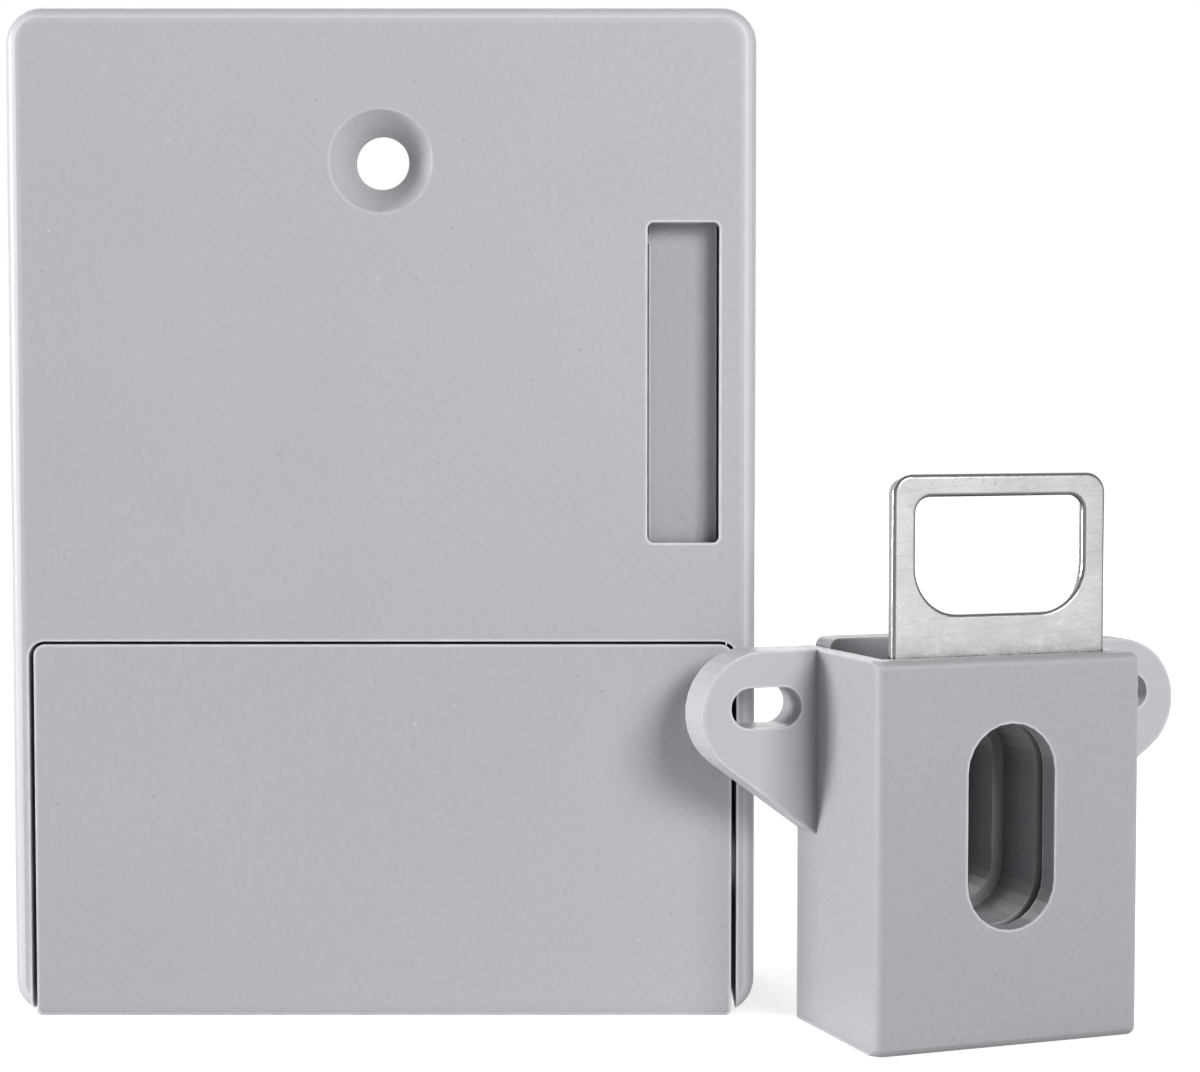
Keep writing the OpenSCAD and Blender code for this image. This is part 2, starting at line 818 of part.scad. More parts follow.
module circuit_board() {
    color("#1f6b45")
        difference() {
            slab(board_front, board_back)
                polygon(round_box([board_left, board_low], [board_right, board_high], board_r,
                    board_r));
            rod_y(0, screw_z, tower_r + still_gap, board_front - over, board_back + over);
            for (p = board_posts)
                rod_y(p[0], p[1], board_screw_r + screw_gap, board_front - over, board_back + over);
            block([board_left - over, board_front - over, board_low - over],
                [board_notch - cover_screw_x, board_back + over, cover_screw_low + board_notch]);
            block([board_left - over, board_front - over, cover_screw_high - board_notch],
                [board_notch - cover_screw_x, board_back + over, board_high + over]);
        }
}

module board_screws() {
    color("#8f9398")
        for (p = board_posts)
            screw_y(p[0], p[1], board_back, board_screw_r, board_t + board_screw_l - still_gap,
                board_head_r, board_head_t);
}

// A block soldered to the front of the board, centred at shares of the board's size
module on_board(share, size) {
    p = board_place(share);
    block([p[0] - size[0] / 2, board_front - size[2], p[1] - size[1] / 2],
        [p[0] + size[0] / 2, board_front, p[1] + size[1] / 2]);
}

// Controller, card reader and motor driver
module control_chips() {
    color("#232427") {
        on_board(controller_share, controller_size);
        on_board(reader_share, reader_size);
        on_board(driver_share, driver_size);
    }
}

module crystal_can() {
    color("#c4c7ca")
        on_board(crystal_share, crystal_size);
}

module capacitors() {
    color("#2b3a52")
        for (s = capacitor_shares)
            rod_y(board_place(s)[0], board_place(s)[1], capacitor_r, board_front - capacitor_l,
                board_front);
}

module buzzer() {
    p = board_place(buzzer_share);
    color("#1c1d1f")
        difference() {
            rod_y(p[0], p[1], buzzer_r, board_front - buzzer_l, board_front);
            rod_y(p[0], p[1], buzzer_hole_r, board_front - buzzer_l - over, board_front - buzzer_l / 2);
        }
}

module wire_sockets() {
    inner = [socket_size[0] - 2 * socket_wall, socket_size[1] - 2 * socket_wall, socket_size[2]];
    color("#efece2")
        for (s = [battery_socket_share, motor_socket_share, button_socket_share])
            difference() {
                on_board(s, socket_size);
                translate([0, -socket_wall, 0])
                    on_board(s, inner);
            }
}

// Straight stretch of a lead from a to b
module lead_run(a, b) {
    d = b - a;
    translate(a)
        rotate([0, acos(d[2] / norm(d)), atan2(d[1], d[0])])
            cylinder(r = lead_r, h = norm(d), $fn = lead_facets);
}

// A lead through a list of points
module lead(points) {
    for (i = [0 : len(points) - 2])
        lead_run(points[i], points[i + 1]);
    for (i = [1 : len(points) - 2])
        translate(points[i])
            sphere(lead_bend_r, $fn = lead_facets);
}

// Leads from the end plates' tabs, behind the tray and through the notch to the board
module battery_leads() {
    p = board_place(battery_socket_share);
    y = tab_y - 1.2 * lead_r;
    for (side = [-1, 1])
        color(side > 0 ? "#b3262a" : "#202124")
            lead([
                [side * (tray_in - contact_t - still_gap), y, cells_z + side * cell_pitch],
                [p[0] + side * lead_half_gap, y, cells_z + cell_pitch * (side > 0 ? 1 : 0.5)],
                [p[0] + side * lead_half_gap, lead_notch_y, lead_under_z],
                [p[0] + side * lead_half_gap, lead_notch_y, lead_rise_z],
                [p[0] + side * lead_half_gap, lead_turn_y, lead_rise_z],
                [p[0] + side * lead_half_gap, lead_turn_y, p[1]],
                [p[0] + side * lead_half_gap, lead_end_y, p[1]]
            ]);
}

// Leads from the motor's tabs round its rear to the board
module motor_leads() {
    p = board_place(motor_socket_share);
    tab_x = motor_x - motor_l - end_cap_l - tab_l;
    for (side = [-1, 1])
        color(side > 0 ? "#b3262a" : "#202124") {
            out_x = tab_x - 2 * lead_half_gap + side * lead_half_gap;
            over_z = p[1] + socket_size[1] / 2 - side * lead_half_gap;
            lead([
                [tab_x, drive_y, motor_z + side * motor_d / 4],
                [out_x, drive_y, motor_z + side * motor_d / 4],
                [out_x, lead_turn_y, over_z],
                [p[0] - side * lead_half_gap, lead_turn_y, over_z],
                [p[0] - side * lead_half_gap, lead_turn_y, p[1]],
                [p[0] - side * lead_half_gap, lead_end_y, p[1]]
            ]);
        }
}

// Leads from the setting button's board through their own notch to the board
module button_leads() {
    p = board_place(button_socket_share);
    color("#d9d9d6")
        for (side = [-1, 1]) {
            start_x = button_notch_x + side * lead_half_gap;
            end_x = p[0] + side * lead_half_gap;
            turn_y = lead_turn_y - (side + 1) * lead_half_gap;
            lead([
                [start_x, lead_notch_y, button_z + switch_board_h / 2],
                [start_x, lead_notch_y, lead_rise_z],
                [start_x, turn_y, lead_rise_z],
                [end_x, turn_y, lead_rise_z],
                [end_x, turn_y, p[1]],
                [end_x, lead_end_y, p[1]]
            ]);
        }
}

// Flat wound coil that reads the card through the cabinet door
module reader_coil() {
    p = board_place(coil_share);
    color("#b5652b")
        difference() {
            rod_y(p[0], p[1], coil_r, board_back, board_back + coil_t);
            rod_y(p[0], p[1], coil_r - coil_w, board_back - over, board_back + coil_t + over);
        }
}

// Light gate on the back of the board that sees the pusher's flag pressed in
module closing_sensor() {
    low = flag_z - flag_t / 2 - sensor_gap - sensor_arm;
    high = flag_z + flag_t / 2 + sensor_gap + sensor_arm;
    color("#202124")
        difference() {
            block([board_right - sensor_body, board_back, low],
                [well_left - well_wall - still_gap, board_back + sensor_h, high]);
            block([board_right, board_back - over, low + sensor_arm],
                [well_left, board_back + sensor_h + over, high - sensor_arm]);
        }
}

module switch_board() {
    y = back_in - switch_board_lift;
    color("#1f6b45")
        block([strip_x - switch_board_w / 2, y - switch_board_t, button_z - switch_board_h / 2],
            [strip_x + switch_board_w / 2, y, button_z + switch_board_h / 2]);
}

module button_switch() {
    color("#232427")
        difference() {
            block([strip_x - switch_w / 2, switch_front, button_z - switch_w / 2],
                [strip_x + switch_w / 2, switch_front + switch_h, button_z + switch_w / 2]);
            rod_y(strip_x, button_z, button_r + run_gap, switch_front - over,
                switch_front + button_seat + button_travel + run_gap);
        }
}

module program_button() {
    color("#e6e6e4")
        rod_y(strip_x, button_z, button_r, switch_front - button_rise, switch_front + button_seat);
}

module mechanism_frame() {
    channel_y = bolt_t / 2 + bolt_gap;
    channel_z = bolt_h / 2 + bolt_gap;
    color("#3a3c40")
        difference() {
            union() {
                frame_plate();
                frame_walls();
                for (p = cup_places)
                    rod_y(p[0], p[1], cup_r, front_in, front_in + boss_h + cup_top);
            }
            block([guide_left - over, drive_y - channel_y, drive_z - channel_z],
                [well_right + well_wall + over, drive_y + channel_y, drive_z + channel_z]);
            block([well_left, front_in - over, well_low], [well_right, well_back + over, well_high]);
            block([well_left - well_wall - 2 * flag_t, front_in - over,
                flag_z - flag_t / 2 - still_gap],
                [well_left + over, well_back + over, flag_z + flag_t / 2 + still_gap]);
            rod_x(drive_y, drive_z, journal_r + bush_wall, far_wall_x - over,
                far_wall_x + bush_far_l + over);
            rod_x(drive_y, drive_z, lead_screw_d / 2 + bush_wall, near_wall_x - over,
                near_wall_x + bush_near_l + over);
            for (p = cup_places) {
                rod_y(p[0], p[1], boss_r + cup_gap, front_in - over, front_in + boss_h);
                rod_y(p[0], p[1], frame_screw_r + screw_gap, front_in,
                    front_in + boss_h + cup_top + over);
            }
        }
}

// Base of the frame, against the front wall
module frame_plate() {
    left = motor_x - motor_l - end_cap_l - rib_t;
    block([left, front_in, motor_z - motor_d / 2 - cup_r - rib_t],
        [near_wall_x + bush_near_l, frame_floor, motor_z + motor_d / 2 + rib_t]);
    block([near_wall_x, front_in, drive_z - bolt_h / 2 - 1.5 * rib_t],
        [well_left, frame_floor, drive_z + bolt_h / 2 + 1.5 * rib_t]);
    block([guide_left, front_in, drive_z - bolt_h / 2 - 2 * cup_r],
        [well_left, frame_floor, drive_z + bolt_h / 2 + 2 * cup_r]);
}

// Upright walls of the frame
module frame_walls() {
    wall_z = lead_screw_d / 2 + bush_wall + boss_wall;
    block([far_wall_x, front_in, drive_z - wall_z - rib_t],
        [far_wall_x + bush_far_l, drive_y + wall_z, drive_z + journal_r + bush_wall + boss_wall]);
    block([near_wall_x, front_in, drive_z - wall_z - rib_t],
        [near_wall_x + bush_near_l, drive_y + wall_z, drive_z + wall_z]);
    for (z = [motor_z - motor_d / 2 - run_gap - rib_t, motor_z + motor_d / 2 + run_gap])
        block([motor_x - motor_l, front_in, z], [motor_x - rib_t, drive_y + motor_flat / 4, z + rib_t]);
    block([motor_x - motor_l + rib_t, front_in, motor_z - motor_d / 3],
        [motor_x - rib_t, frame_floor + bed_t, motor_z + motor_d / 3]);
    block([guide_left, front_in, drive_z - bolt_h / 2 - bolt_gap - 1.3 * rib_t],
        [well_left, drive_y + bolt_t / 2 + bolt_gap + rib_t,
            drive_z + bolt_h / 2 + bolt_gap + 1.3 * rib_t]);
    block([well_left - well_wall, front_in, well_low - well_wall],
        [well_right + well_wall, well_back, well_high + well_wall]);
}

module frame_screws() {
    color("#8f9398")
        for (p = cup_places)
            screw_y(p[0], p[1], front_in + boss_h + cup_top, frame_screw_r,
                cup_top + frame_screw_l - still_gap,
                frame_head_r, frame_head_t);
}

// Motor, its axis along x beside the lead screw
module motor_can() {
    color("#b7babd")
        difference() {
            intersection() {
                rod_x(drive_y, motor_z, motor_d / 2, motor_x - motor_l, motor_x);
                block([motor_x - motor_l - over, drive_y - motor_flat / 2, motor_z - motor_d],
                    [motor_x + over, drive_y + motor_flat / 2, motor_z + motor_d]);
            }
            rod_x(drive_y, motor_z, shaft_r + run_gap, motor_x - shaft_deep - still_gap,
                motor_x + over);
        }
}

// Plastic rear end of the motor with its two tabs
module motor_end_cap() {
    rear = motor_x - motor_l;
    color("#e8e6df")
        intersection() {
            rod_x(drive_y, motor_z, motor_d / 2 - boss_wall / 2, rear - end_cap_l, rear);
            block([rear - end_cap_l - over, drive_y - motor_flat / 2, motor_z - motor_d],
                [rear + over, drive_y + motor_flat / 2, motor_z + motor_d]);
        }
    color("#c8a24a")
        for (sz = [-1, 1])
            translate([rear - end_cap_l, drive_y, motor_z + sz * motor_d / 4])
                block([-tab_l, -tab_w / 2, -tab_t / 2], [0, tab_w / 2, tab_t / 2]);
}

module motor_shaft() {
    color("#d5d7d9")
        rod_x(drive_y, motor_z, shaft_r, motor_x - shaft_deep, gear_x + gear_t + still_gap);
}

// A gear across x at height z with a bore for its shaft
module gear_blank(z, teeth, phase, bore_r, x0, x1) {
    translate([x0, drive_y, z])
        rotate([90, 0, 90])
            difference() {
                linear_extrude(x1 - x0)
                    polygon(gear_outline(teeth, phase));
                translate([0, 0, -over])
                    cylinder(r = bore_r, h = x1 - x0 + 2 * over);
            }
}

module motor_pinion() {
    color("#c8a24a")
        gear_blank(motor_z, pinion_teeth, 0.25 * pinion_teeth, shaft_r, gear_x - still_gap,
            gear_x + gear_t);
}

module screw_gear() {
    color("#e9e7df") {
        gear_blank(drive_z, gear_teeth, 0.25 * gear_teeth + 0.5, lead_screw_d / 2, gear_x,
            gear_x + gear_t);
        difference() {
            rod_x(drive_y, drive_z, gear_hub_r, gear_x - gear_hub_l, gear_x);
            rod_x(drive_y, drive_z, lead_screw_d / 2, gear_x - gear_hub_l - over, gear_x + over);
        }
    }
}

module lead_screw() {
    color("#c9ccd0") {
        rod_x(drive_y, drive_z, journal_r, far_wall_x - still_gap, gear_x - gear_hub_l);
        rod_x(drive_y, drive_z, lead_screw_d / 2, gear_x - gear_hub_l, screw_end_x);
    }
}

module screw_bushes() {
    color("#b98b3e") {
        bush(journal_r, far_wall_x, bush_far_l);
        bush(lead_screw_d / 2, near_wall_x, bush_near_l);
    }
}

// Plain bush of length l for a journal of radius r
module bush(r, x, l) {
    difference() {
        rod_x(drive_y, drive_z, r + bush_wall, x, x + l);
        rod_x(drive_y, drive_z, r + screw_gap, x - over, x + l + over);
    }
}

module lock_bolt() {
    z0 = drive_z - bolt_h / 2;
    z1 = drive_z + bolt_h / 2;
    color("#cfd2d5")
        difference() {
            slab(drive_y - bolt_t / 2, drive_y + bolt_t / 2)
                polygon([
                    [bolt_rear_x, z0], [bolt_tip_x - bolt_chamfer, z0], [bolt_tip_x, z0 + bolt_chamfer],
                    [bolt_tip_x, z1 - bolt_chamfer], [bolt_tip_x - bolt_chamfer, z1], [bolt_rear_x, z1]
                ]);
            rod_x(drive_y, drive_z, bolt_bore_r, bolt_rear_x - over, screw_end_x + still_gap);
            for (sz = [-1, 1])
                rod_x(drive_y, drive_z + sz * nut_screw_off, nut_screw_r + screw_gap,
                    bolt_rear_x - over,
                    nut_rear_x + nut_head_t + nut_screw_l + still_gap);
        }
}

module bolt_nut() {
    color("#c8a24a")
        difference() {
            block([nut_rear_x, drive_y - bolt_t / 2, drive_z - bolt_h / 2],
                [bolt_rear_x, drive_y + bolt_t / 2, drive_z + bolt_h / 2]);
            rod_x(drive_y, drive_z, lead_screw_d / 2 + screw_gap, nut_rear_x - over,
                bolt_rear_x + over);
            for (sz = [-1, 1]) {
                rod_x(drive_y, drive_z + sz * nut_screw_off, nut_screw_r + screw_gap, nut_rear_x,
                    bolt_rear_x + over);
                rod_x(drive_y, drive_z + sz * nut_screw_off, nut_head_r + screw_gap, nut_rear_x - over,
                    nut_rear_x + nut_head_t);
            }
        }
}

module nut_screws() {
    color("#8f9398")
        for (sz = [-1, 1]) {
            rod_x(drive_y, drive_z + sz * nut_screw_off, nut_head_r, nut_rear_x,
                nut_rear_x + nut_head_t);
            rod_x(drive_y, drive_z + sz * nut_screw_off, nut_screw_r, nut_rear_x + nut_head_t,
                nut_rear_x + nut_head_t + nut_screw_l);
        }
}

// Plate that fills the slot and is pushed in by the tongue, with its flag
module tongue_pusher() {
    color("#a7aab0") {
        slab(pusher_y, pusher_y + pusher_t)
            translate([slot_x, slot_z])
                polygon(round_box([-pusher_w / 2, -pusher_h / 2], [pusher_w / 2, pusher_h / 2],
                    slot_r, slot_r));
        block([slot_x - pusher_w / 2 - flag_reach, pusher_y, flag_z - flag_t / 2],
            [slot_x - pusher_w / 2 + flag_t, pusher_y + flag_l, flag_z + flag_t / 2]);
    }
}

module pusher_springs() {
    l = back_in - pusher_y - pusher_t;
    color("#d6d8da")
        for (sz = [-1, 1])
            translate([slot_x, back_in, slot_z + sz * (slot_h / 2 - spring_inset)])
                rotate([90, 0, 0])
                    difference() {
                        cylinder(h = l, r1 = spring_wide_r, r2 = spring_tip_r);
                        translate([0, 0, -over])
                            cylinder(h = l + 2 * over, r = spring_tip_r - spring_wire);
                    }
}

// Puts its children, drawn in the keeper's own frame, where the keeper stands
module at_keeper() {
    translate([keeper_side, -lock_d - keeper_ahead, -half_h])
        rotate([0, 0, keeper_turn])
            children();
}

// Case of the keeper with rounded front edges
module keeper_envelope() {
    r = keeper_edge_r;
    hull() {
        for (sx = [-1, 1], z = [r, keeper_h - r])
            translate([sx * (keeper_half_w - r), r, z])
                sphere(r, $fn = hull_facets / 2);
        block([-keeper_half_w, 2 * r, 0], [keeper_half_w, keeper_d, keeper_h]);
    }
}

// Outline of the right ear: a round tip, a flat top and a sloping underside
module ear_outline() {
    c = [ears_w / 2 - ear_r, keeper_h - ear_r];
    foot = [keeper_half_w, keeper_h - ear_h];
    reach = foot - c;
    far = norm(reach);
    under = atan2(reach[1], reach[0]) + acos(ear_r / far);
    polygon(concat(
        [[keeper_half_w - keeper_wall / 2, keeper_h]],
        [for (i = [0 : 2 * corner_steps])
            let (t = 90 + (under - 90) * i / (2 * corner_steps)) c + ear_r * [cos(t), sin(t)]],
        [foot, [keeper_half_w - keeper_wall / 2, keeper_h - ear_h]]
    ));
}

module keeper_case() {
    hole_z = keeper_h - ear_hole_drop;
    half_slot = (ear_slot_l - ear_slot_w) / 2;
    color("#b9bcc2")
        at_keeper()
            difference() {
                union() {
                    keeper_envelope();
                    for (sx = [0, 1])
                        mirror([sx, 0, 0])
                            slab(keeper_d - ear_t, keeper_d)
                                ear_outline();
                }
                block([-keeper_half_w + keeper_wall, keeper_front, keeper_wall],
                    [keeper_half_w - keeper_wall, keeper_d + over, keeper_h + over]);
                slab(-over, keeper_front + over)
                    polygon(oval(window_r, window_arc, window_z));
                rod_y(ear_hole_x, hole_z, ear_hole_d / 2, keeper_d - ear_t - over, keeper_d + over);
                for (sx = [-1, 1])
                    rod_y(sx * half_slot - ear_slot_x, hole_z, ear_slot_w / 2,
                        keeper_d - ear_t - over, keeper_d + over);
                block([-ear_slot_x - half_slot, keeper_d - ear_t - over, hole_z - ear_slot_w / 2],
                    [half_slot - ear_slot_x, keeper_d + over, hole_z + ear_slot_w / 2]);
            }
}

// Slider inside the keeper case that carries the tongue
module tongue_holder() {
    boss_r = tunnel_r + tunnel_wall;
    clamp_y = holder_back - clamp_slot_t;
    color("#b1b4ba")
        at_keeper()
            difference() {
                union() {
                    slab(holder_block_y, holder_back)
                        polygon(round_box([-holder_half_w, holder_low], [holder_half_w, holder_high],
                            holder_edge_r, holder_edge_r));
                    slab(tongue_back, tongue_back + flange_t)
                        polygon(round_box([-flange_half_w, holder_low],
                            [flange_half_w, keeper_h - flange_drop],
                            holder_edge_r, holder_edge_r));
                    slab(tongue_back, holder_back)
                        polygon(oval(boss_r, window_arc, window_z));
                    for (sx = [0, 1])
                        mirror([sx, 0, 0])
                            holder_cheek();
                }
                slab(tongue_back - over, recess_y)
                    polygon(oval(tunnel_r, window_arc, window_z));
                slab(recess_y - over, clamp_y)
                    polygon(oval(recess_r, window_arc, window_z));
                slab(clamp_y - over, holder_back + over)
                    polygon(oval(clamp_slot_r, window_arc, window_z));
                for (sx = [-1, 1], z = [rivet_low, rivet_high])
                    rod_y(sx * rivet_x, z, rivet_r + screw_gap, tongue_back - over,
                        tongue_back + flange_t + over);
            }
}

// Side web of the slider, scooped out at the top
module holder_cheek() {
    mid_y = (tongue_back + flange_t + holder_block_y) / 2;
    scoop_r = (holder_block_y - tongue_back - flange_t) / 2;
    difference() {
        block([flange_half_w - cheek_t, tongue_back, cheek_low],
            [flange_half_w, holder_back - over, cheek_high]);
        rod_x(mid_y, cheek_high, scoop_r, flange_half_w - cheek_t - over, flange_half_w + over);
    }
}

module tongue_plate() {
    color("#d9dbdd")
        at_keeper()
            difference() {
                slab(tongue_front, tongue_back)
                    difference() {
                        polygon(round_box([-tongue_w / 2, tongue_low], [tongue_w / 2, tongue_top],
                            slot_r, tongue_r));
                        polygon(round_box([-eye_w / 2, keeper_h + eye_low],
                            [eye_w / 2, keeper_h + eye_high],
                            eye_low_r, eye_top_r));
                        polygon(oval(tunnel_r + slot_r, window_arc, window_z));
                    }
                for (sx = [-1, 1], z = [rivet_low, rivet_high])
                    rod_y(sx * rivet_x, z, rivet_r + screw_gap, tongue_front - over,
                        tongue_back + over);
            }
}

module tongue_rivets() {
    color("#a9acb0")
        at_keeper()
            for (sx = [-1, 1], z = [rivet_low, rivet_high]) {
                rod_y(sx * rivet_x, z, rivet_r, tongue_front, tongue_back + flange_t);
                rod_y(sx * rivet_x, z, rivet_head_r, tongue_back + flange_t,
                    tongue_back + flange_t + rivet_head_t);
            }
}

front_cover();
back_cover();
cover_screws();
battery_door();
door_pad();
battery_tray();
tray_screws();
aaa_cells();
contact_plates();
contact_springs();
circuit_board();
board_screws();
control_chips();
crystal_can();
capacitors();
buzzer();
wire_sockets();
battery_leads();
motor_leads();
button_leads();
reader_coil();
closing_sensor();
switch_board();
button_switch();
program_button();
mechanism_frame();
frame_screws();
motor_can();
motor_end_cap();
motor_shaft();
motor_pinion();
lead_screw();
screw_gear();
screw_bushes();
lock_bolt();
bolt_nut();
nut_screws();
tongue_pusher();
pusher_springs();
keeper_case();
tongue_holder();
tongue_plate();
tongue_rivets();
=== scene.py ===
import math
import bpy
import bmesh
from mathutils import Matrix, Vector


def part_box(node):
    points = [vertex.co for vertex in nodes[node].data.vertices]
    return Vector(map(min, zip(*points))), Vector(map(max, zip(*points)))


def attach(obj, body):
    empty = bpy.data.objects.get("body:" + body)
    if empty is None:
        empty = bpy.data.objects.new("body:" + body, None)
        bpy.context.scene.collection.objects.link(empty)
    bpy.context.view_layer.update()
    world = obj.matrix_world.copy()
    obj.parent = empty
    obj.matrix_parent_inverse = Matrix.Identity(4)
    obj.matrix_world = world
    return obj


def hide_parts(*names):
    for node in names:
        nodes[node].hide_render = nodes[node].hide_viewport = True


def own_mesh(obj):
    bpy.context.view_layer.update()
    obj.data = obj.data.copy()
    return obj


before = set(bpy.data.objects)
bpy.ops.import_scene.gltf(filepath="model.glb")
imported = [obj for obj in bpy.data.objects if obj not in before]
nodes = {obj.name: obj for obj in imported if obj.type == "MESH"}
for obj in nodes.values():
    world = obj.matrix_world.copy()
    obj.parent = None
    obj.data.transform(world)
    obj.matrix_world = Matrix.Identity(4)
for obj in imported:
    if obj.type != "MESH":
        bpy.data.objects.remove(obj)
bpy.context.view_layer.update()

MM = 0.001
scene = bpy.context.scene
scene.view_settings.view_transform = "Standard"

# Places that several pieces or materials share, in millimetres as in the source
CELL_Y, CELL_Z, CELL_PITCH = -13.35, -30.5, 11.0
DRIVE_Y, DRIVE_Z = -11.75, 13.1
TURN = math.radians(20)
KEEPER_FRONT = (math.sin(TURN), -math.cos(TURN), 0.0)
KEEPER_SIDE = (math.cos(TURN), math.sin(TURN), 0.0)


class Shader:
    """One material with a Principled shader and short calls for its nodes."""

    def __init__(self, name):
        self.mat = bpy.data.materials.new(name)
        self.mat.use_nodes = True
        self.tree = self.mat.node_tree
        self.tree.nodes.clear()
        self.bsdf = self.add("ShaderNodeBsdfPrincipled")
        self.link(self.bsdf.outputs[0], self.add("ShaderNodeOutputMaterial").inputs[0])
        self.coord = self.add("ShaderNodeTexCoord").outputs["Object"]

    def add(self, kind, **settings):
        """Node of a kind with some of its own settings."""
        node = self.tree.nodes.new(kind)
        for key, value in settings.items():
            setattr(node, key, value)
        return node

    def link(self, a, b):
        self.tree.links.new(a, b)

    def feed(self, node, **values):
        """Gives a node's inputs a value or a link each."""
        for key, value in values.items():
            socket = node.inputs[key.replace("_", " ")]
            if isinstance(value, bpy.types.NodeSocket):
                self.link(value, socket)
            else:
                socket.default_value = value
        return node

    def stretch(self, scale, turn=(0, 0, 0)):
        """The shared frame's coordinates, turned and scaled."""
        node = self.add("ShaderNodeMapping")
        node.inputs["Scale"].default_value = scale
        node.inputs["Rotation"].default_value = turn
        self.link(self.coord, node.inputs["Vector"])
        return node.outputs[0]

    def noise(self, scale, detail=3.0, rough=0.5, vector=None):
        """Clouds, about scale of them a metre."""
        node = self.add("ShaderNodeTexNoise")
        self.feed(node, Vector=vector or self.coord, Scale=scale, Detail=detail, Roughness=rough)
        return node.outputs["Fac"]

    def cells(self, scale, vector=None, feature="F1"):
        """Distance from scattered points, about scale of them a metre."""
        node = self.add("ShaderNodeTexVoronoi", feature=feature)
        self.feed(node, Vector=vector or self.coord, Scale=scale)
        return node.outputs["Distance"]

    def wave(self, scale, axis, warp, vector, kind="BANDS"):
        """Bands or rings across an axis."""
        node = self.add("ShaderNodeTexWave", wave_type=kind)
        if kind == "BANDS":
            node.bands_direction = axis
        else:
            node.rings_direction = axis
        self.feed(node, Vector=vector, Scale=scale, Distortion=warp)
        return node.outputs["Fac"]

    def ramp(self, value, stops):
        """The grey that a list of (place, grey) stops gives a value."""
        node = self.add("ShaderNodeValToRGB")
        marks = node.color_ramp.elements
        while len(marks) < len(stops):
            marks.new(0.5)
        for mark, (place, grey) in zip(marks, stops):
            mark.position = place
            mark.color = (grey, grey, grey, 1.0)
        self.link(value, node.inputs[0])
        return node.outputs[0]

    def span(self, value, low, high, start=0.0, end=1.0):
        """Maps a value from start and end to low and high, and stays between these."""
        node = self.add("ShaderNodeMapRange")
        self.feed(node, Value=value, From_Min=start, From_Max=end, To_Min=low, To_Max=high)
        return node.outputs[0]

    def maths(self, kind, a, b=0.0):
        node = self.add("ShaderNodeMath", operation=kind)
        for i, value in enumerate((a, b)):
            if isinstance(value, bpy.types.NodeSocket):
                self.link(value, node.inputs[i])
            else:
                node.inputs[i].default_value = value
        return node.outputs[0]

    def mix(self, share, a, b):
        """Colour between a and b, all b at share 1."""
        node = self.add("ShaderNodeMix", data_type="RGBA")
        for i, value in ((0, share), (6, a), (7, b)):
            if isinstance(value, bpy.types.NodeSocket):
                self.link(value, node.inputs[i])
            elif i:
                node.inputs[i].default_value = (*value, 1.0)
            else:
                node.inputs[i].default_value = value
        return node.outputs[2]

    def edge(self, radius, strength):
        """Near 1 along the outer and inner edges, 0 on the flats."""
        soft = self.add("ShaderNodeBevel", samples=6)
        soft.inputs["Radius"].default_value = radius
        true = self.add("ShaderNodeNewGeometry").outputs["True Normal"]
        dot = self.add("ShaderNodeVectorMath", operation="DOT_PRODUCT")
        self.link(soft.outputs[0], dot.inputs[0])
        self.link(true, dot.inputs[1])
        lost = self.maths("SUBTRACT", 1.0, dot.outputs["Value"])
        near = self.maths("MULTIPLY", lost, strength)
        near.node.use_clamp = True
        return near

    def crevice(self, distance, inside=False, own=False):
        """Low in corners and cavities, or with inside along outer edges; own leaves other pieces out."""
        node = self.add("ShaderNodeAmbientOcclusion", samples=6, inside=inside, only_local=inside or own)
        node.inputs["Distance"].default_value = distance
        return node.outputs["AO"]

    def facing(self, direction):
        """1 where the surface faces along the direction or against it, 0 where it is edge on."""
        dot = self.add("ShaderNodeVectorMath", operation="DOT_PRODUCT")
        self.link(self.add("ShaderNodeNewGeometry").outputs["Normal"], dot.inputs[0])
        dot.inputs[1].default_value = direction
        return self.maths("ABSOLUTE", dot.outputs["Value"])

    def outside(self, direction, middle, reach):
        """1 farther than reach from the middle along a direction of the shared frame, 0 nearer."""
        dot = self.add("ShaderNodeVectorMath", operation="DOT_PRODUCT")
        self.link(self.coord, dot.inputs[0])
        dot.inputs[1].default_value = direction
        off = self.maths("ABSOLUTE", self.maths("SUBTRACT", dot.outputs["Value"], middle))
        before, after = 0.0006, 0.0012
        return self.span(off, 0.0, 1.0, reach - before, reach + after)

    def bump(self, heights, round_r=0.0):
        """Chains bumps given as (height socket, strength, distance) on softly rounded edges."""
        normal = None
        if round_r:
            soft = self.add("ShaderNodeBevel", samples=6)
            soft.inputs["Radius"].default_value = round_r
            normal = soft.outputs[0]
        for height, strength, distance in heights:
            node = self.add("ShaderNodeBump")
            self.feed(node, Strength=strength, Distance=distance, Height=height)
            if normal is not None:
                self.link(normal, node.inputs["Normal"])
            normal = node.outputs[0]
        self.link(normal, self.bsdf.inputs["Normal"])

    def finish(self, color, rough, metallic=0.0, **extra):
        """The material, with its colour, roughness and other inputs of the shader set."""
        self.feed(self.bsdf, Base_Color=color, Roughness=rough)
        self.bsdf.inputs["Metallic"].default_value = metallic
        for key, value in extra.items():
            self.bsdf.inputs[key.replace("_", " ")].default_value = value
        return self.mat


def shade_of(color, gain):
    """The colour times a gain, at most white."""
    return tuple(min(1, c * gain) for c in color)


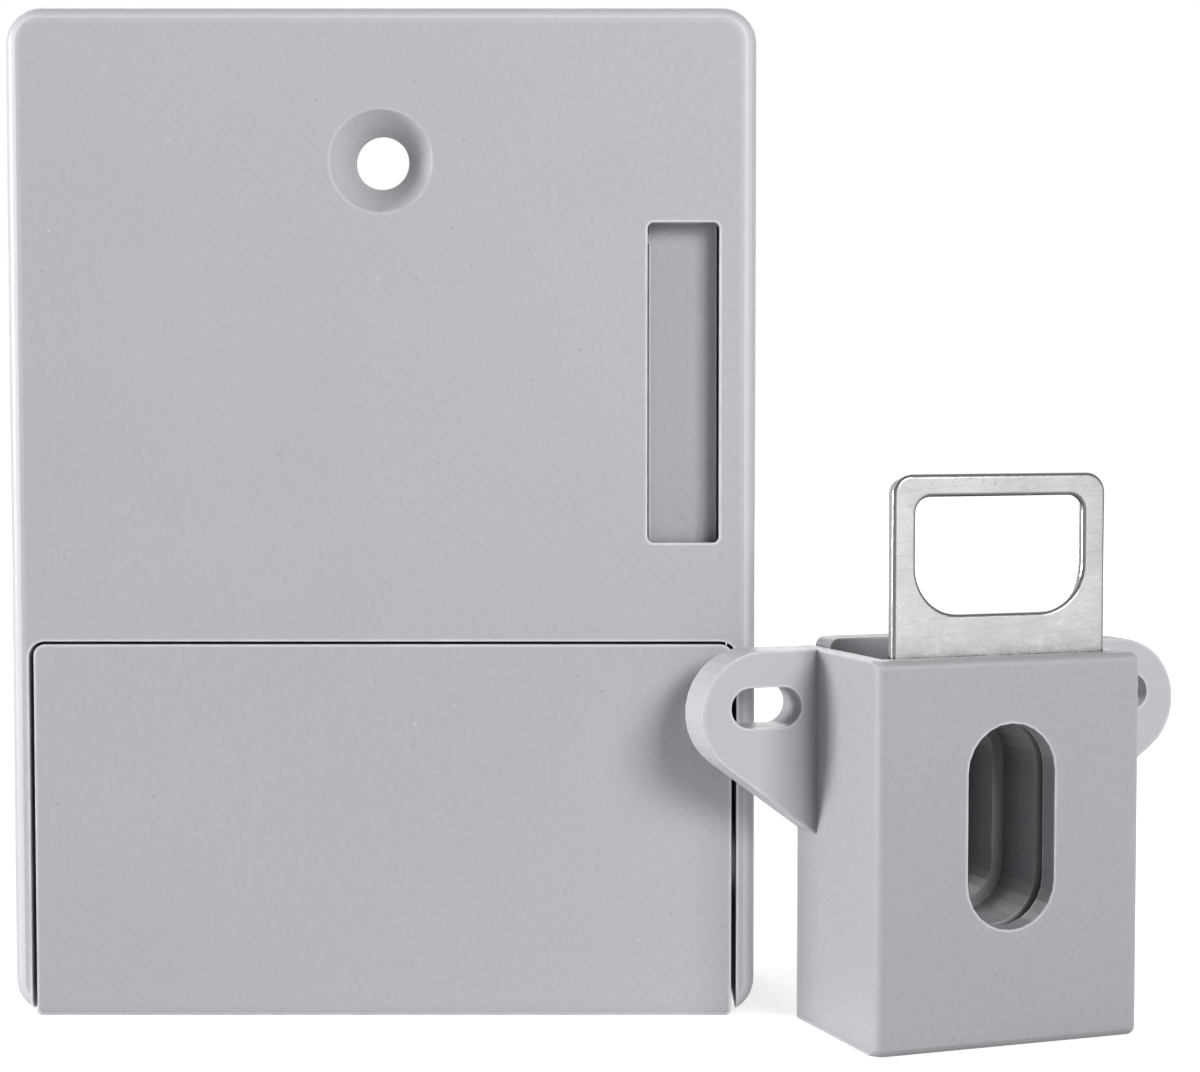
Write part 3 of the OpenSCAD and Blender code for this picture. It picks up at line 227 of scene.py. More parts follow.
def moulded(name, color, rough=0.44, grain=1.0, highlight_gain=1.0, deep=0.0, sink=0.0, shoulder=None, paler=None):
    """Moulded plastic: faint flow clouds, spark-eroded grain, worn edges with a painted highlight, painted
    shade in corners.

    deep darkens cavities, sink darkens the piece's own recesses, and shoulder is the face direction whose
    rounded border is paler. Beyond the direction, middle and reach in paler the whole colour is paler.
    All four paint in some of the photo's light.
    """
    s = Shader(name)
    cloud = s.noise(42, 3, 0.55)
    grit = s.noise(1900, 3, 0.7)
    tone = s.mix(s.span(cloud, 0, 1, 0.3, 0.7), shade_of(color, 0.975), shade_of(color, 1.02))
    tone = s.mix(s.span(grit, 0.0, 0.8, 0.42, 0.75), tone, shade_of(color, 0.9))
    specks = s.cells(150)
    tone = s.mix(s.span(specks, 0.8, 0.0, 0.012, 0.032), tone, shade_of(color, 1.3))
    pits = s.cells(310, s.stretch((1, 1, 1), (0.4, 0.2, 0.9)))
    tone = s.mix(s.span(pits, 0.7, 0.0, 0.02, 0.055), tone, shade_of(color, 0.6))
    # Beyond the reach the colour is painted paler: painted light
    if paler:
        tone = s.mix(s.outside(*paler), tone, shade_of(color, 1.28))
    # Convex edges: the paler colour is a painted highlight, the lower roughness is wear
    rim_wear_and_highlight = s.span(s.crevice(0.00035, True), 1.0, 0.0, 0.6, 0.97)
    rim_wear_and_highlight = s.maths("MULTIPLY", rim_wear_and_highlight, s.span(s.noise(500, 3), 0.65, 1.0, 0.35, 0.65))
    tone = s.mix(s.maths("MULTIPLY", rim_wear_and_highlight, highlight_gain), tone, shade_of(color, 1.8))
    # The rounded border of faces along shoulder gets a paler band: a painted highlight
    if shoulder:
        bend = s.ramp(s.facing(shoulder), [(0.70, 0.0), (0.86, 1.0), (0.97, 1.0), (0.997, 0.0)])
        tone = s.mix(s.maths("MULTIPLY", bend, 0.7), tone, shade_of(color, 1.4))
    # Corners and crevices are painted darker: painted shade
    tone = s.mix(s.span(s.crevice(0.0015), 0.4, 0.0, 0.2, 0.9), tone, shade_of(color, 0.42))
    # The piece's own recesses are painted darker: painted shade
    if sink:
        tone = s.mix(s.span(s.crevice(0.006, own=True), sink, 0.0, 0.5, 0.97), tone, shade_of(color, 0.3))
    # Cavities are painted darker: painted shade
    if deep:
        tone = s.mix(s.span(s.crevice(0.012), deep, 0.0, 0.05, 0.5), tone, shade_of(color, 0.16))
    spread = s.span(grit, rough - 0.05, rough + 0.09, 0.3, 0.7)
    spread = s.maths("SUBTRACT", spread, s.maths("MULTIPLY", rim_wear_and_highlight, 0.14))
    s.bump([(grit, 0.10 * grain, 0.00006), (s.noise(260, 3), 0.05 * grain, 0.0003)], 0.00018)
    return s.finish(tone, spread, Specular_IOR_Level=0.5)


def metal(name, color, rough=0.3, brushed=None, pits=0.0):
    """Metal with a drawn or tumbled finish, small pits, stains and polished edges."""
    s = Shader(name)
    vector = s.stretch(brushed) if brushed else s.coord
    drawn = s.noise(1.0 if brushed else 1500, 4, 0.6, vector)
    cloud = s.noise(120, 4, 0.6)
    tone = s.mix(s.span(cloud, 0, 1, 0.3, 0.7), shade_of(color, 0.9), shade_of(color, 1.04))
    tone = s.mix(s.span(drawn, 0.0, 0.35, 0.3, 0.75), tone, shade_of(color, 0.86))
    spots = s.cells(900)
    spot = s.span(spots, pits, 0.0, 0.02, 0.14)
    tone = s.mix(spot, tone, shade_of(color, 0.35))
    rim = s.edge(0.0004, 3.5)
    tone = s.mix(s.maths("MULTIPLY", rim, 0.3), tone, shade_of(color, 1.4))
    spread = s.span(drawn, rough - 0.06, rough + 0.1, 0.3, 0.7)
    spread = s.maths("SUBTRACT", spread, s.maths("MULTIPLY", rim, rough * 0.55))
    sound = s.maths("SUBTRACT", 1.0, spot)
    s.bump([(drawn, 0.12, 0.00004), (sound, 0.25 if pits else 0.02, 0.00005)], 0.00012)
    return s.finish(tone, spread, 1.0)


def tumbled(name, color, front, rough):
    """Tumbled steel sheet: mottled satin faces, scratches, pits, polished round edges with a painted dark
    reflection line and a painted highlight.
    """
    s = Shader(name)
    blotch = s.noise(230, 5, 0.62)
    fine = s.noise(1.0, 4, 0.65, s.stretch((1300, 1300, 1900)))
    tone = s.mix(s.span(blotch, 0, 1, 0.32, 0.68), shade_of(color, 0.86), shade_of(color, 1.06))
    tone = s.mix(s.span(fine, 0.0, 0.6, 0.35, 0.7), tone, shade_of(color, 0.8))
    slant = s.stretch((0.2, 0.2, 1), (0.3, 0.5, 0.2))
    scratch = s.ramp(s.wave(300, "Z", 6.0, slant), [(0.0, 1.0), (0.03, 1.0), (0.06, 0.0)])
    tone = s.mix(s.maths("MULTIPLY", scratch, 0.18), tone, shade_of(color, 0.6))
    pits = s.span(s.cells(1100), 1.0, 0.0, 0.05, 0.2)
    pits = s.maths("MULTIPLY", pits, s.span(s.noise(90, 2), 0.0, 0.8, 0.5, 0.7))
    tone = s.mix(pits, tone, shade_of(color, 0.45))
    bend = s.facing(front)
    # Rounded edges: a painted dark reflection line near the face, a painted highlight towards the side
    dark_line = s.ramp(bend, [(0.4, 0.0), (0.55, 0.95), (0.95, 0.95), (0.998, 0.0)])
    tone = s.mix(dark_line, tone, shade_of(color, 0.3))
    rim_light = s.ramp(bend, [(0.0, 1.0), (0.35, 0.9), (0.5, 0.0)])
    tone = s.mix(rim_light, tone, shade_of(color, 1.9))
    # Hollows near other parts are painted darker in mottled patches: painted shade
    shade_mottle = s.span(s.noise(700, 4), 0.2, 1.0, 0.35, 0.6)
    low = s.maths("MULTIPLY", s.span(s.crevice(0.004), 0.9, 0.0, 0.3, 0.95), shade_mottle)
    tone = s.mix(low, tone, shade_of(color, 0.5))
    satin = s.span(fine, rough - 0.07, rough + 0.12, 0.3, 0.7)
    spread = s.maths("MULTIPLY", satin, s.span(bend, 0.45, 1.0, 0.6, 0.99))
    s.bump([(fine, 0.16, 0.00004), (blotch, 0.10, 0.0001)])
    return s.finish(tone, spread, 1.0)


def foam(name):
    """Black open foam with dusty patches."""
    s = Shader(name)
    pore = s.cells(1600)
    tone = s.mix(s.span(pore, 0, 1, 0.1, 0.6), (0.012, 0.012, 0.013), (0.05, 0.05, 0.053))
    tone = s.mix(s.span(s.noise(140), 0.0, 0.4), tone, (0.07, 0.068, 0.066))
    s.bump([(pore, 0.8, 0.0002)])
    return s.finish(tone, s.span(pore, 0.95, 0.8), Sheen_Weight=0.2)


def board(name):
    """Green lacquer over copper tracks, with tinned pads."""
    s = Shader(name)
    flat = s.stretch((1, 0, 1))
    grid = s.add("ShaderNodeTexBrick", offset=0.5)
    s.feed(grid, Vector=s.stretch((260, 1, 260), (math.radians(90), 0, 0)), Scale=1.0)
    s.feed(grid, Mortar_Size=0.06, Bias=0.0, Brick_Width=2.2, Row_Height=0.55)
    track = s.ramp(s.cells(160, flat, "DISTANCE_TO_EDGE"), [(0.0, 1.0), (0.03, 1.0), (0.04, 0.0)])
    pad = s.ramp(s.cells(260, flat), [(0.0, 1.0), (0.13, 1.0), (0.16, 0.0)])
    base = s.mix(s.span(s.noise(90), 0, 1, 0.3, 0.7), (0.010, 0.105, 0.045), (0.014, 0.150, 0.062))
    lines = s.maths("MAXIMUM", track, s.maths("SUBTRACT", 1.0, grid.outputs["Fac"]))
    base = s.mix(s.maths("MULTIPLY", lines, 0.25), base, (0.05, 0.30, 0.12))
    tone = s.mix(pad, base, (0.62, 0.62, 0.58))
    s.bump([(track, 0.15, 0.00004), (pad, 0.3, 0.00006), (s.noise(900), 0.05, 0.00005)], 0.0001)
    return s.finish(tone, s.span(s.noise(500), 0.22, 0.38), Specular_IOR_Level=0.5)


def sleeve(name, color, rough=0.3):
    """Smooth insulation with faint marks."""
    s = Shader(name)
    tone = s.mix(s.span(s.noise(320, 3), 0, 1, 0.3, 0.7), shade_of(color, 0.85), shade_of(color, 1.1))
    tone = s.mix(s.span(s.cells(700), 0.25, 0.0, 0.0, 0.2), tone, tuple(min(1, c + 0.12) for c in color))
    s.bump([(s.noise(1400, 2), 0.08, 0.00005)], 0.0001)
    return s.finish(tone, s.span(s.noise(800), rough - 0.08, rough + 0.1), Specular_IOR_Level=0.5)


def copper(name, centre):
    """Enamelled wire wound flat: fine rings about the coil's middle."""
    s = Shader(name)
    shift = s.add("ShaderNodeMapping")
    shift.inputs["Location"].default_value = (-centre[0], 0.0, -centre[1])
    s.link(s.coord, shift.inputs["Vector"])
    rings = s.wave(520, "Y", 0.0, shift.outputs[0], "RINGS")
    tone = s.mix(rings, (0.16, 0.045, 0.015), (0.72, 0.30, 0.12))
    tone = s.mix(s.span(s.noise(150), 0.0, 0.3), tone, (0.45, 0.16, 0.05))
    s.bump([(rings, 0.8, 0.00012)])
    return s.finish(tone, s.span(s.noise(600), 0.22, 0.4), 0.9)


def cell_wrap(name):
    """Plain blue-grey wrap with a paler band at the plus end and bare steel at both ends."""
    s = Shader(name)
    split = s.add("ShaderNodeSeparateXYZ")
    s.link(s.coord, split.inputs[0])
    wrap_end, band_start = 0.02105, 0.0145
    bare = s.maths("GREATER_THAN", s.maths("ABSOLUTE", split.outputs["X"]), wrap_end)
    # The middle cell lies the other way round
    off = s.maths("ABSOLUTE", s.maths("SUBTRACT", split.outputs["Z"], CELL_Z * MM))
    turned = s.maths("LESS_THAN", off, CELL_PITCH * MM / 2)
    way = s.maths("SUBTRACT", 1.0, s.maths("MULTIPLY", turned, 2.0))
    band = s.maths("GREATER_THAN", s.maths("MULTIPLY", split.outputs["X"], way), band_start)
    cloud = s.noise(120, 4)
    wrap = s.mix(s.span(cloud, 0, 1, 0.3, 0.7), (0.060, 0.130, 0.190), (0.075, 0.155, 0.225))
    wrap = s.mix(s.maths("MULTIPLY", band, 0.8), wrap, (0.42, 0.40, 0.34))
    tone = s.mix(bare, wrap, (0.62, 0.62, 0.60))
    scratch = s.noise(1.0, 3, 0.6, s.stretch((90, 1600, 1600)))
    tone = s.mix(s.span(scratch, 0.0, 0.4, 0.55, 0.8), tone, (0.30, 0.33, 0.36))
    s.bump([(scratch, 0.06, 0.00004)], 0.0001)
    s.link(s.maths("MAXIMUM", s.maths("MULTIPLY", bare, 0.95), 0.35), s.bsdf.inputs["Metallic"])
    s.feed(s.bsdf, Base_Color=tone, Roughness=s.span(scratch, 0.24, 0.4, 0.3, 0.7))
    return s.mat


# Finishes of the nodes and pieces. The grey pieces differ in tone as they do in the photo's light.
GREY = (0.512, 0.518, 0.548)
# The keeper's ears beyond this reach from the case's middle are painted paler: painted light
CASE_MIDDLE, CASE_REACH = 0.0452, 0.0145
EARS = (KEEPER_SIDE, CASE_MIDDLE, CASE_REACH)
coil_lo, coil_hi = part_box("reader_coil")
coil_middle = ((coil_lo.x + coil_hi.x) / 2, (coil_lo.z + coil_hi.z) / 2)
FINISH = {
    # The body's front border band is a painted highlight and its recesses painted shade
    "body": moulded("body_plastic", GREY, sink=0.6, shoulder=(0, -1, 0)),
    # Door, keeper case, slider and pusher are the body's grey, set darker as painted shade; deep adds painted
    # shade in the keeper's and slider's cavities
    "door": moulded("door_plastic", shade_of(GREY, 0.985)),
    "keeper": moulded("keeper_plastic", shade_of(GREY, 0.79), 0.42, 1.4, deep=0.25, paler=EARS),
    "holder": moulded("slider_plastic", shade_of(GREY, 0.76), 0.48, 1.4, 0.4, deep=0.85),
    "pusher": moulded("pusher_plastic", shade_of(GREY, 0.87), 0.48, 1.2),
    "black": moulded("black_plastic", (0.030, 0.031, 0.034), 0.40, 1.5, 0.6),
    "frame": moulded("frame_plastic", (0.045, 0.047, 0.052), 0.42, 1.5, 0.6),
    "chip": moulded("chip_plastic", (0.022, 0.022, 0.024), 0.55, 2.0, 0.5),
    "nylon": moulded("nylon", (0.74, 0.71, 0.62), 0.4, 0.8),
    "cap": moulded("button_plastic", (0.72, 0.72, 0.70), 0.35, 0.6),
    "steel": metal("screw_steel", (0.60, 0.61, 0.63), 0.34, None, 0.3),
    "spring": metal("spring_wire", (0.64, 0.65, 0.66), 0.28),
    "contact": metal("contact_steel", (0.70, 0.69, 0.66), 0.25, (900, 900, 40)),
    "ground": metal("ground_steel", (0.62, 0.63, 0.64), 0.24, (2500, 60, 60), 0.2),
    "can": metal("plated_can", (0.58, 0.59, 0.60), 0.26, (60, 900, 900), 0.3),
    "brass": metal("brass", (0.68, 0.48, 0.19), 0.3, (900, 60, 60), 0.2),
    "sheet": tumbled("tongue_steel", (0.44, 0.44, 0.44), KEEPER_FRONT, 0.26),
    "foam": foam("foam"),
    "board": board("lacquered_board"),
    "red": sleeve("red_sleeve", (0.42, 0.022, 0.020)),
    "dark": sleeve("black_sleeve", (0.022, 0.022, 0.024)),
    "white": sleeve("white_sleeve", (0.70, 0.70, 0.67)),
    "tank": sleeve("capacitor_sleeve", (0.028, 0.045, 0.095), 0.25),
    "copper": copper("wound_copper", coil_middle),
    "cell": cell_wrap("cell_wrap"),
}

NODE_FINISH = {
    "front_cover": "body", "back_cover": "body", "battery_door": "door", "keeper_case": "keeper",
    "tongue_holder": "holder", "tongue_pusher": "pusher", "battery_tray": "black",
    "mechanism_frame": "frame", "control_chips": "chip", "buzzer": "black",
    "button_switch": "black", "closing_sensor": "black", "wire_sockets": "nylon",
    "motor_end_cap": "nylon", "screw_gear": "nylon", "program_button": "cap",
    "circuit_board": "board", "switch_board": "board", "crystal_can": "can", "motor_can": "can",
    "contact_plates": "contact", "capacitors": "tank", "reader_coil": "copper", "door_pad": "foam",
    "motor_shaft": "ground", "lock_bolt": "ground", "motor_pinion": "brass", "bolt_nut": "brass",
    "screw_bushes": "brass",
}
for node, key in NODE_FINISH.items():
    slots = nodes[node].material_slots
    if not slots:
        nodes[node].data.materials.append(FINISH[key])
    for entry in slots:
        entry.material = FINISH[key]


# Mesh tools: a solid is a pair of lists, verts in metres and faces
AXIS_R = 0.02


def ring_faces(rows, steps):
    """Faces of a closed skin over rows of rings, with a cap at each end."""
    faces = []
    for j in range(rows - 1):
        for i in range(steps):
            k = (i + 1) % steps
            faces.append((j * steps + i, j * steps + k, (j + 1) * steps + k, (j + 1) * steps + i))
    faces.append(tuple(reversed(range(steps))))
    faces.append(tuple((rows - 1) * steps + i for i in range(steps)))
    return faces


def revolve(profile, steps):
    """Closed solid of revolution about local X from (x, r) points."""
    verts = []
    for x, r in profile:
        for i in range(steps):
            a = 2 * math.pi * i / steps
            verts.append((x, r * math.cos(a), r * math.sin(a)))
    return verts, ring_faces(len(profile), steps)


def rounded(points, r, steps=4, share=0.45):
    """Rounds the inner corners of a run of points, each with at most a share of the sides beside it."""
    out = [points[0]]
    for a, b, c in zip(points, points[1:], points[2:]):
        a, b, c = Vector(a), Vector(b), Vector(c)
        da, dc = a - b, c - b
        k = min(r, da.length * share, dc.length * share)
        if k < 1e-7:
            out.append(tuple(b))
            continue
        p, q = b + da.normalized() * k, b + dc.normalized() * k
        for i in range(steps + 1):
            t = i / steps
            out.append(tuple(p * (1 - t) ** 2 + b * 2 * t * (1 - t) + q * t * t))
    out.append(points[-1])
    return out


def turned(profile, edge, steps):
    """Turned solid about local X, from an (x, r) profile in millimetres with its corners rounded.

    No radius is less than AXIS_R, so that the end caps have an area.
    """
    return revolve([(x * MM, max(r, AXIS_R) * MM) for x, r in rounded(profile, edge)], steps)


def tube(points, r, sides):
    """Round tube along a list of points."""
    verts = []
    n = len(points)
    pts = [Vector(p) for p in points]
    normal = None
    for i, p in enumerate(pts):
        d = (pts[min(i + 1, n - 1)] - pts[max(i - 1, 0)]).normalized()
        if normal is None:
            normal = d.orthogonal().normalized()
        normal = (normal - d * normal.dot(d)).normalized()
        side = d.cross(normal)
        for k in range(sides):
            a = 2 * math.pi * k / sides
            verts.append(p + (normal * math.cos(a) + side * math.sin(a)) * r)
    return verts, ring_faces(n, sides)


def coil(start, axis, length, r0, r1, wire, turns):
    """Wound compression spring with closed ends."""
    axis = Vector(axis).normalized()
    u = axis.orthogonal().normalized()
    v = axis.cross(u)
    closed = 0.8 / turns
    steps = int(turns * 24)
    points = []
    for i in range(steps + 1):
        t = i / steps
        a = 2 * math.pi * turns * t
        lift = min(1.0, max(0.0, (t - closed) / (1 - 2 * closed)))
        r = r0 + (r1 - r0) * t
        h = wire / 2 + lift * (length - wire)
        points.append(Vector(start) + axis * h + (u * math.cos(a) + v * math.sin(a)) * (r - wire / 2))
    return tube(points, wire / 2, 8)


def threaded(x0, x1, r_root, r_crest, pitch, starts=1, steps=32):
    """Shank along X with a thread of one or more starts that fades out at both ends."""
    rows_per_ridge, sharpness = 6, 3.2
    rows = max(4, int((x1 - x0) / (pitch / starts / rows_per_ridge)))
    verts = []
    for j in range(rows + 1):
        x = x0 + (x1 - x0) * j / rows
        fade = max(0.0, min(1.0, (x - x0) / pitch, (x1 - x) / pitch))
        for i in range(steps):
            a = 2 * math.pi * i / steps
            w = (x * starts / pitch - starts * i / steps) % 1.0
            ridge = max(0.0, 1 - abs(w - 0.5) * sharpness)
            r = r_root + (r_crest - r_root) * ridge * fade
            verts.append((x, r * math.cos(a), r * math.sin(a)))
    return verts, ring_faces(rows + 1, steps)


def cross_head(r, t):
    """Low screw head along +X from 0 to t with a cross recess in its far face."""
    steps = 48
    wing, waist, deep = r * 0.62, r * 0.17, t * 0.62

    def cross(a):
        c, s = abs(math.cos(a)), abs(math.sin(a))
        big, small = max(c, s), min(c, s)
        reach = min(wing / big, waist / max(small, 1e-6))
        return max(reach, waist * 1.414)

    rings = [
        (0.0, lambda a: r), (t * 0.62, lambda a: r), (t * 0.86, lambda a: r * 0.94), (t, lambda a: r * 0.82),
        (t, lambda a: cross(a) * 1.06), (t - deep * 0.5, lambda a: cross(a) * 0.92),
        (t - deep, lambda a: cross(a) * 0.6),
    ]
    verts = []
    for x, reach_at in rings:
        for i in range(steps):
            a = 2 * math.pi * i / steps
            verts.append((x, reach_at(a) * math.cos(a), reach_at(a) * math.sin(a)))
    return verts, ring_faces(len(rings), steps)


def aim(place, direction):
    """Matrix that puts local +X along a direction, at a place."""
    turn = Vector(direction).to_track_quat("X", "Z").to_matrix().to_4x4()
    return Matrix.Translation(Vector(place)) @ turn


def placed(solid, matrix):
    """The solid moved by a matrix."""
    verts, faces = solid
    return [matrix @ Vector(v) for v in verts], faces


def mesh_from(name, solids):
    """One mesh from several solids, with its normals outward."""
    verts, faces = [], []
    for some_verts, some_faces in solids:
        base = len(verts)
        verts += [tuple(v) for v in some_verts]
        faces += [tuple(base + i for i in face) for face in some_faces]
    mesh = bpy.data.meshes.new(name)
    mesh.from_pydata(verts, [], faces)
    mesh.validate()
    work = bmesh.new()
    work.from_mesh(mesh)
    bmesh.ops.recalc_face_normals(work, faces=work.faces)
    work.to_mesh(mesh)
    work.free()
    return mesh


def new_piece(name, mesh, finish, body, node):
    """Smooth piece in one finish that rides on a body and stands for a node."""
    piece = bpy.data.objects.new(name, mesh)
    scene.collection.objects.link(piece)
    mesh.materials.clear()
    mesh.materials.append(FINISH[finish])
    for face in mesh.polygons:
        face.use_smooth = True
    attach(piece, body)
    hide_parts(node)
    return piece


# Screws with cross recess and thread
BACKWARD, FORWARD, LEFTWARD = (0, 1, 0), (0, -1, 0), (-1, 0, 0)


def screws(name, places, seat, direction, shank, head, body, node):
    """Set of equal screws whose heads stand on a seat and face a direction, in millimetres.

    Along y the places are (x, z) and the seat is y. Along x they are (y, z) and the seat is x.
    """
    root_share, pitch, spin_start, spin_step = 0.78, 0.8, 0.3, 0.7
    (shank_r, shank_l), (head_r, head_t) = shank, head
    solids = []
    for i, (a, b) in enumerate(places):
        where = (a * MM, seat * MM, b * MM) if direction == BACKWARD else (seat * MM, a * MM, b * MM)
        spin = Matrix.Rotation(spin_step * i + spin_start, 4, "X")
        at = aim(where, direction) @ spin
        solids.append(placed(cross_head(head_r * MM, head_t * MM), at))
        thread = threaded(-shank_l * MM, 0, shank_r * root_share * MM, shank_r * MM, pitch * MM)
        solids.append(placed(thread, at))
    new_piece(name, mesh_from(name, solids), "steel", body, node)


def on_board(share_x, share_z):
    """Point (x, z) of the board in millimetres, from its shares of the board's width and height."""
    low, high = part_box("circuit_board")
    x = low.x + share_x * (high.x - low.x)
    z = low.z + share_z * (high.z - low.z)
    return x / MM, z / MM


COVER_SEAT, COVER_HEAD, COVER_SHANK_R = -0.9, (1.9, 0.86), 1.1
CAD_HEAD_T, TIP_GAP = 1.0, 0.05
COVER_X, COVER_HIGH, COVER_LOW = 31.4, 44.4, -8.5
cover_places = [(x, z) for z in (COVER_HIGH, COVER_LOW) for x in (-COVER_X, COVER_X)]
screws("cover_screw_set", cover_places, COVER_SEAT, BACKWARD,
       shank=(COVER_SHANK_R, 7.0), head=COVER_HEAD, body="lock", node="cover_screws")

TRAY_X = 20.45
tray_places = [(-TRAY_X, CELL_Z), (TRAY_X, CELL_Z)]
tray_shank = COVER_SEAT - TIP_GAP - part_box("tray_screws")[0].y / MM
screws("tray_screw_set", tray_places, COVER_SEAT, BACKWARD,
       shank=(COVER_SHANK_R, tray_shank), head=COVER_HEAD, body="lock", node="tray_screws")

POST_SHARES = [(0.0935, 0.837), (0.0935, 0.196), (0.897, 0.925), (0.808, 0.075)]
board_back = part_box("circuit_board")[1].y / MM
screws("board_screw_set", [on_board(*share) for share in POST_SHARES], board_back, BACKWARD,
       shank=(1.0, 7.5), head=(1.9, 1.08), body="lock", node="board_screws")

CUP_PLACES = [(-14.96, 29.16), (-14.96, 9.96), (20.55, 23.9), (20.55, 2.3)]
cup_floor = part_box("frame_screws")[1].y / MM - CAD_HEAD_T
screws("frame_screw_set", CUP_PLACES, cup_floor, BACKWARD,
       shank=(0.9, 4.5), head=(1.8, 0.98), body="lock", node="frame_screws")

# Springs behind the pusher, fixed at the back cover, drawn at their free length
WIRE = 0.45
SPRING_X, SPRING_Y, SPRING_WIDE_R, SPRING_TIP_R, SPRING_TURNS = 29.8, -1.6, 2.48, 1.88, 8
SPRING_FREE, SPRING_PRESSED = 15.4, 2.4
SPRING_HEIGHTS = (25.7, 0.5)
for i, z in enumerate(SPRING_HEIGHTS):
    name = f"pusher_spring_{i + 1}"
    seat = (SPRING_X * MM, SPRING_Y * MM, z * MM)
    wound = coil(seat, FORWARD, SPRING_FREE * MM, SPRING_WIDE_R * MM, SPRING_TIP_R * MM, WIRE * MM,
                 SPRING_TURNS)
    spring = new_piece(name, mesh_from(name, [wound]), "spring", "lock", "pusher_springs")
    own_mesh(spring)

# Cells with a crimped steel can, the middle one turned round, and a cone of wire at each minus end
CELL_PROFILE = [(-22.2, 0), (-22.2, 4.2), (-21.9, 5.22), (20.9, 5.22), (21.55, 4.7), (21.6, 2.4),
                (21.9, 1.95), (22.2, 1.85), (22.22, 0)]
MINUS_X, MINUS_L, MINUS_WIDE_R, MINUS_TIP_R, MINUS_TURNS = 24.03, 1.76, 3.4, 1.95, 3.2
cell = turned(CELL_PROFILE, edge=0.25, steps=48)
cells, coils = [], []
for i in range(3):
    half_turns = i % 2
    z = (CELL_Z + (i - 1) * CELL_PITCH) * MM
    turn = Matrix.Rotation(math.pi * half_turns, 4, "Z")
    cells.append(placed(cell, Matrix.Translation((0, CELL_Y * MM, z)) @ turn))
    side = 1 if half_turns else -1
    coils.append(coil((side * MINUS_X * MM, CELL_Y * MM, z), (-side, 0, 0), MINUS_L * MM,
                      MINUS_WIDE_R * MM, MINUS_TIP_R * MM, WIRE * MM, MINUS_TURNS))
new_piece("cells", mesh_from("cells", cells), "cell", "lock", "aaa_cells")
new_piece("minus_coils", mesh_from("minus_coils", coils), "spring", "lock", "contact_springs")

# Lead screw with a plain journal and a thread of three starts
THREAD_X, THREAD_LAP, LEAD, STARTS = -2.0, 0.01, 3.0, 3
JOURNAL_R, ROOT_R, CREST_R = 0.99, 1.08, 1.39
screw_lo, screw_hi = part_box("lead_screw")
drive_axis = Matrix.Translation((0, DRIVE_Y * MM, DRIVE_Z * MM))
start_x = screw_lo.x / MM
journal = turned([(start_x, AXIS_R), (start_x, JOURNAL_R), (THREAD_X, JOURNAL_R),
                  (THREAD_X + THREAD_LAP, AXIS_R)], edge=0.15, steps=32)
thread = threaded(THREAD_X * MM, screw_hi.x, ROOT_R * MM, CREST_R * MM, LEAD * MM, STARTS, steps=36)
drive = mesh_from("drive_thread", [placed(journal, drive_axis), placed(thread, drive_axis)])
new_piece("drive_thread", drive, "ground", "drive_screw", "lead_screw")

# Screws that hold the nut on the bolt, one below and one above the lead screw
NUT_SCREW_OFF = 3.3
nut_places = [(DRIVE_Y, DRIVE_Z - NUT_SCREW_OFF), (DRIVE_Y, DRIVE_Z + NUT_SCREW_OFF)]
nut_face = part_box("nut_screws")[0].x / MM + CAD_HEAD_T
screws("nut_screw_set", nut_places, nut_face, LEFTWARD,
       shank=(0.8, 6.0), head=(1.35, 0.98), body="bolt", node="nut_screws")

# Leads along the points of the source's leads, in millimetres
LEAD_R, LEAD_BEND, HALF_GAP = 0.46, 2.2, 0.65
TAB_Y, TURN_Y, END_Y, NOTCH_Y, RISE_Z = -5.64, -12.2, -7.6, -3.1, -10.25


def leads(name, runs, finish, node):
    """One piece of round leads, each along a run of points."""
    solids = []
    for run in runs:
        points = [tuple(c * MM for c in point) for point in run]
        path = rounded(points, LEAD_BEND * MM, steps=8, share=0.48)
        solids.append(tube(path, LEAD_R * MM, sides=12))
    new_piece(name, mesh_from(name, solids), finish, "lock", node)


BATTERY_TAB_X, BATTERY_NOTCH_Z, BATTERY_SOCKET_SHARES = 23.75, -14.5, (0.64, 0.06)
socket_x, socket_z = on_board(*BATTERY_SOCKET_SHARES)
for side, finish in ((1, "red"), (-1, "dark")):
    x = socket_x + side * HALF_GAP
    tab_z = CELL_Z + side * CELL_PITCH
    bend_z = CELL_Z + (CELL_PITCH if side > 0 else CELL_PITCH / 2)
    leads(f"battery_lead_{finish}", [[
        (side * BATTERY_TAB_X, TAB_Y, tab_z), (x, TAB_Y, bend_z), (x, NOTCH_Y, BATTERY_NOTCH_Z),
        (x, NOTCH_Y, RISE_Z), (x, TURN_Y, RISE_Z), (x, TURN_Y, socket_z), (x, END_Y, socket_z),
    ]], finish, "battery_leads")

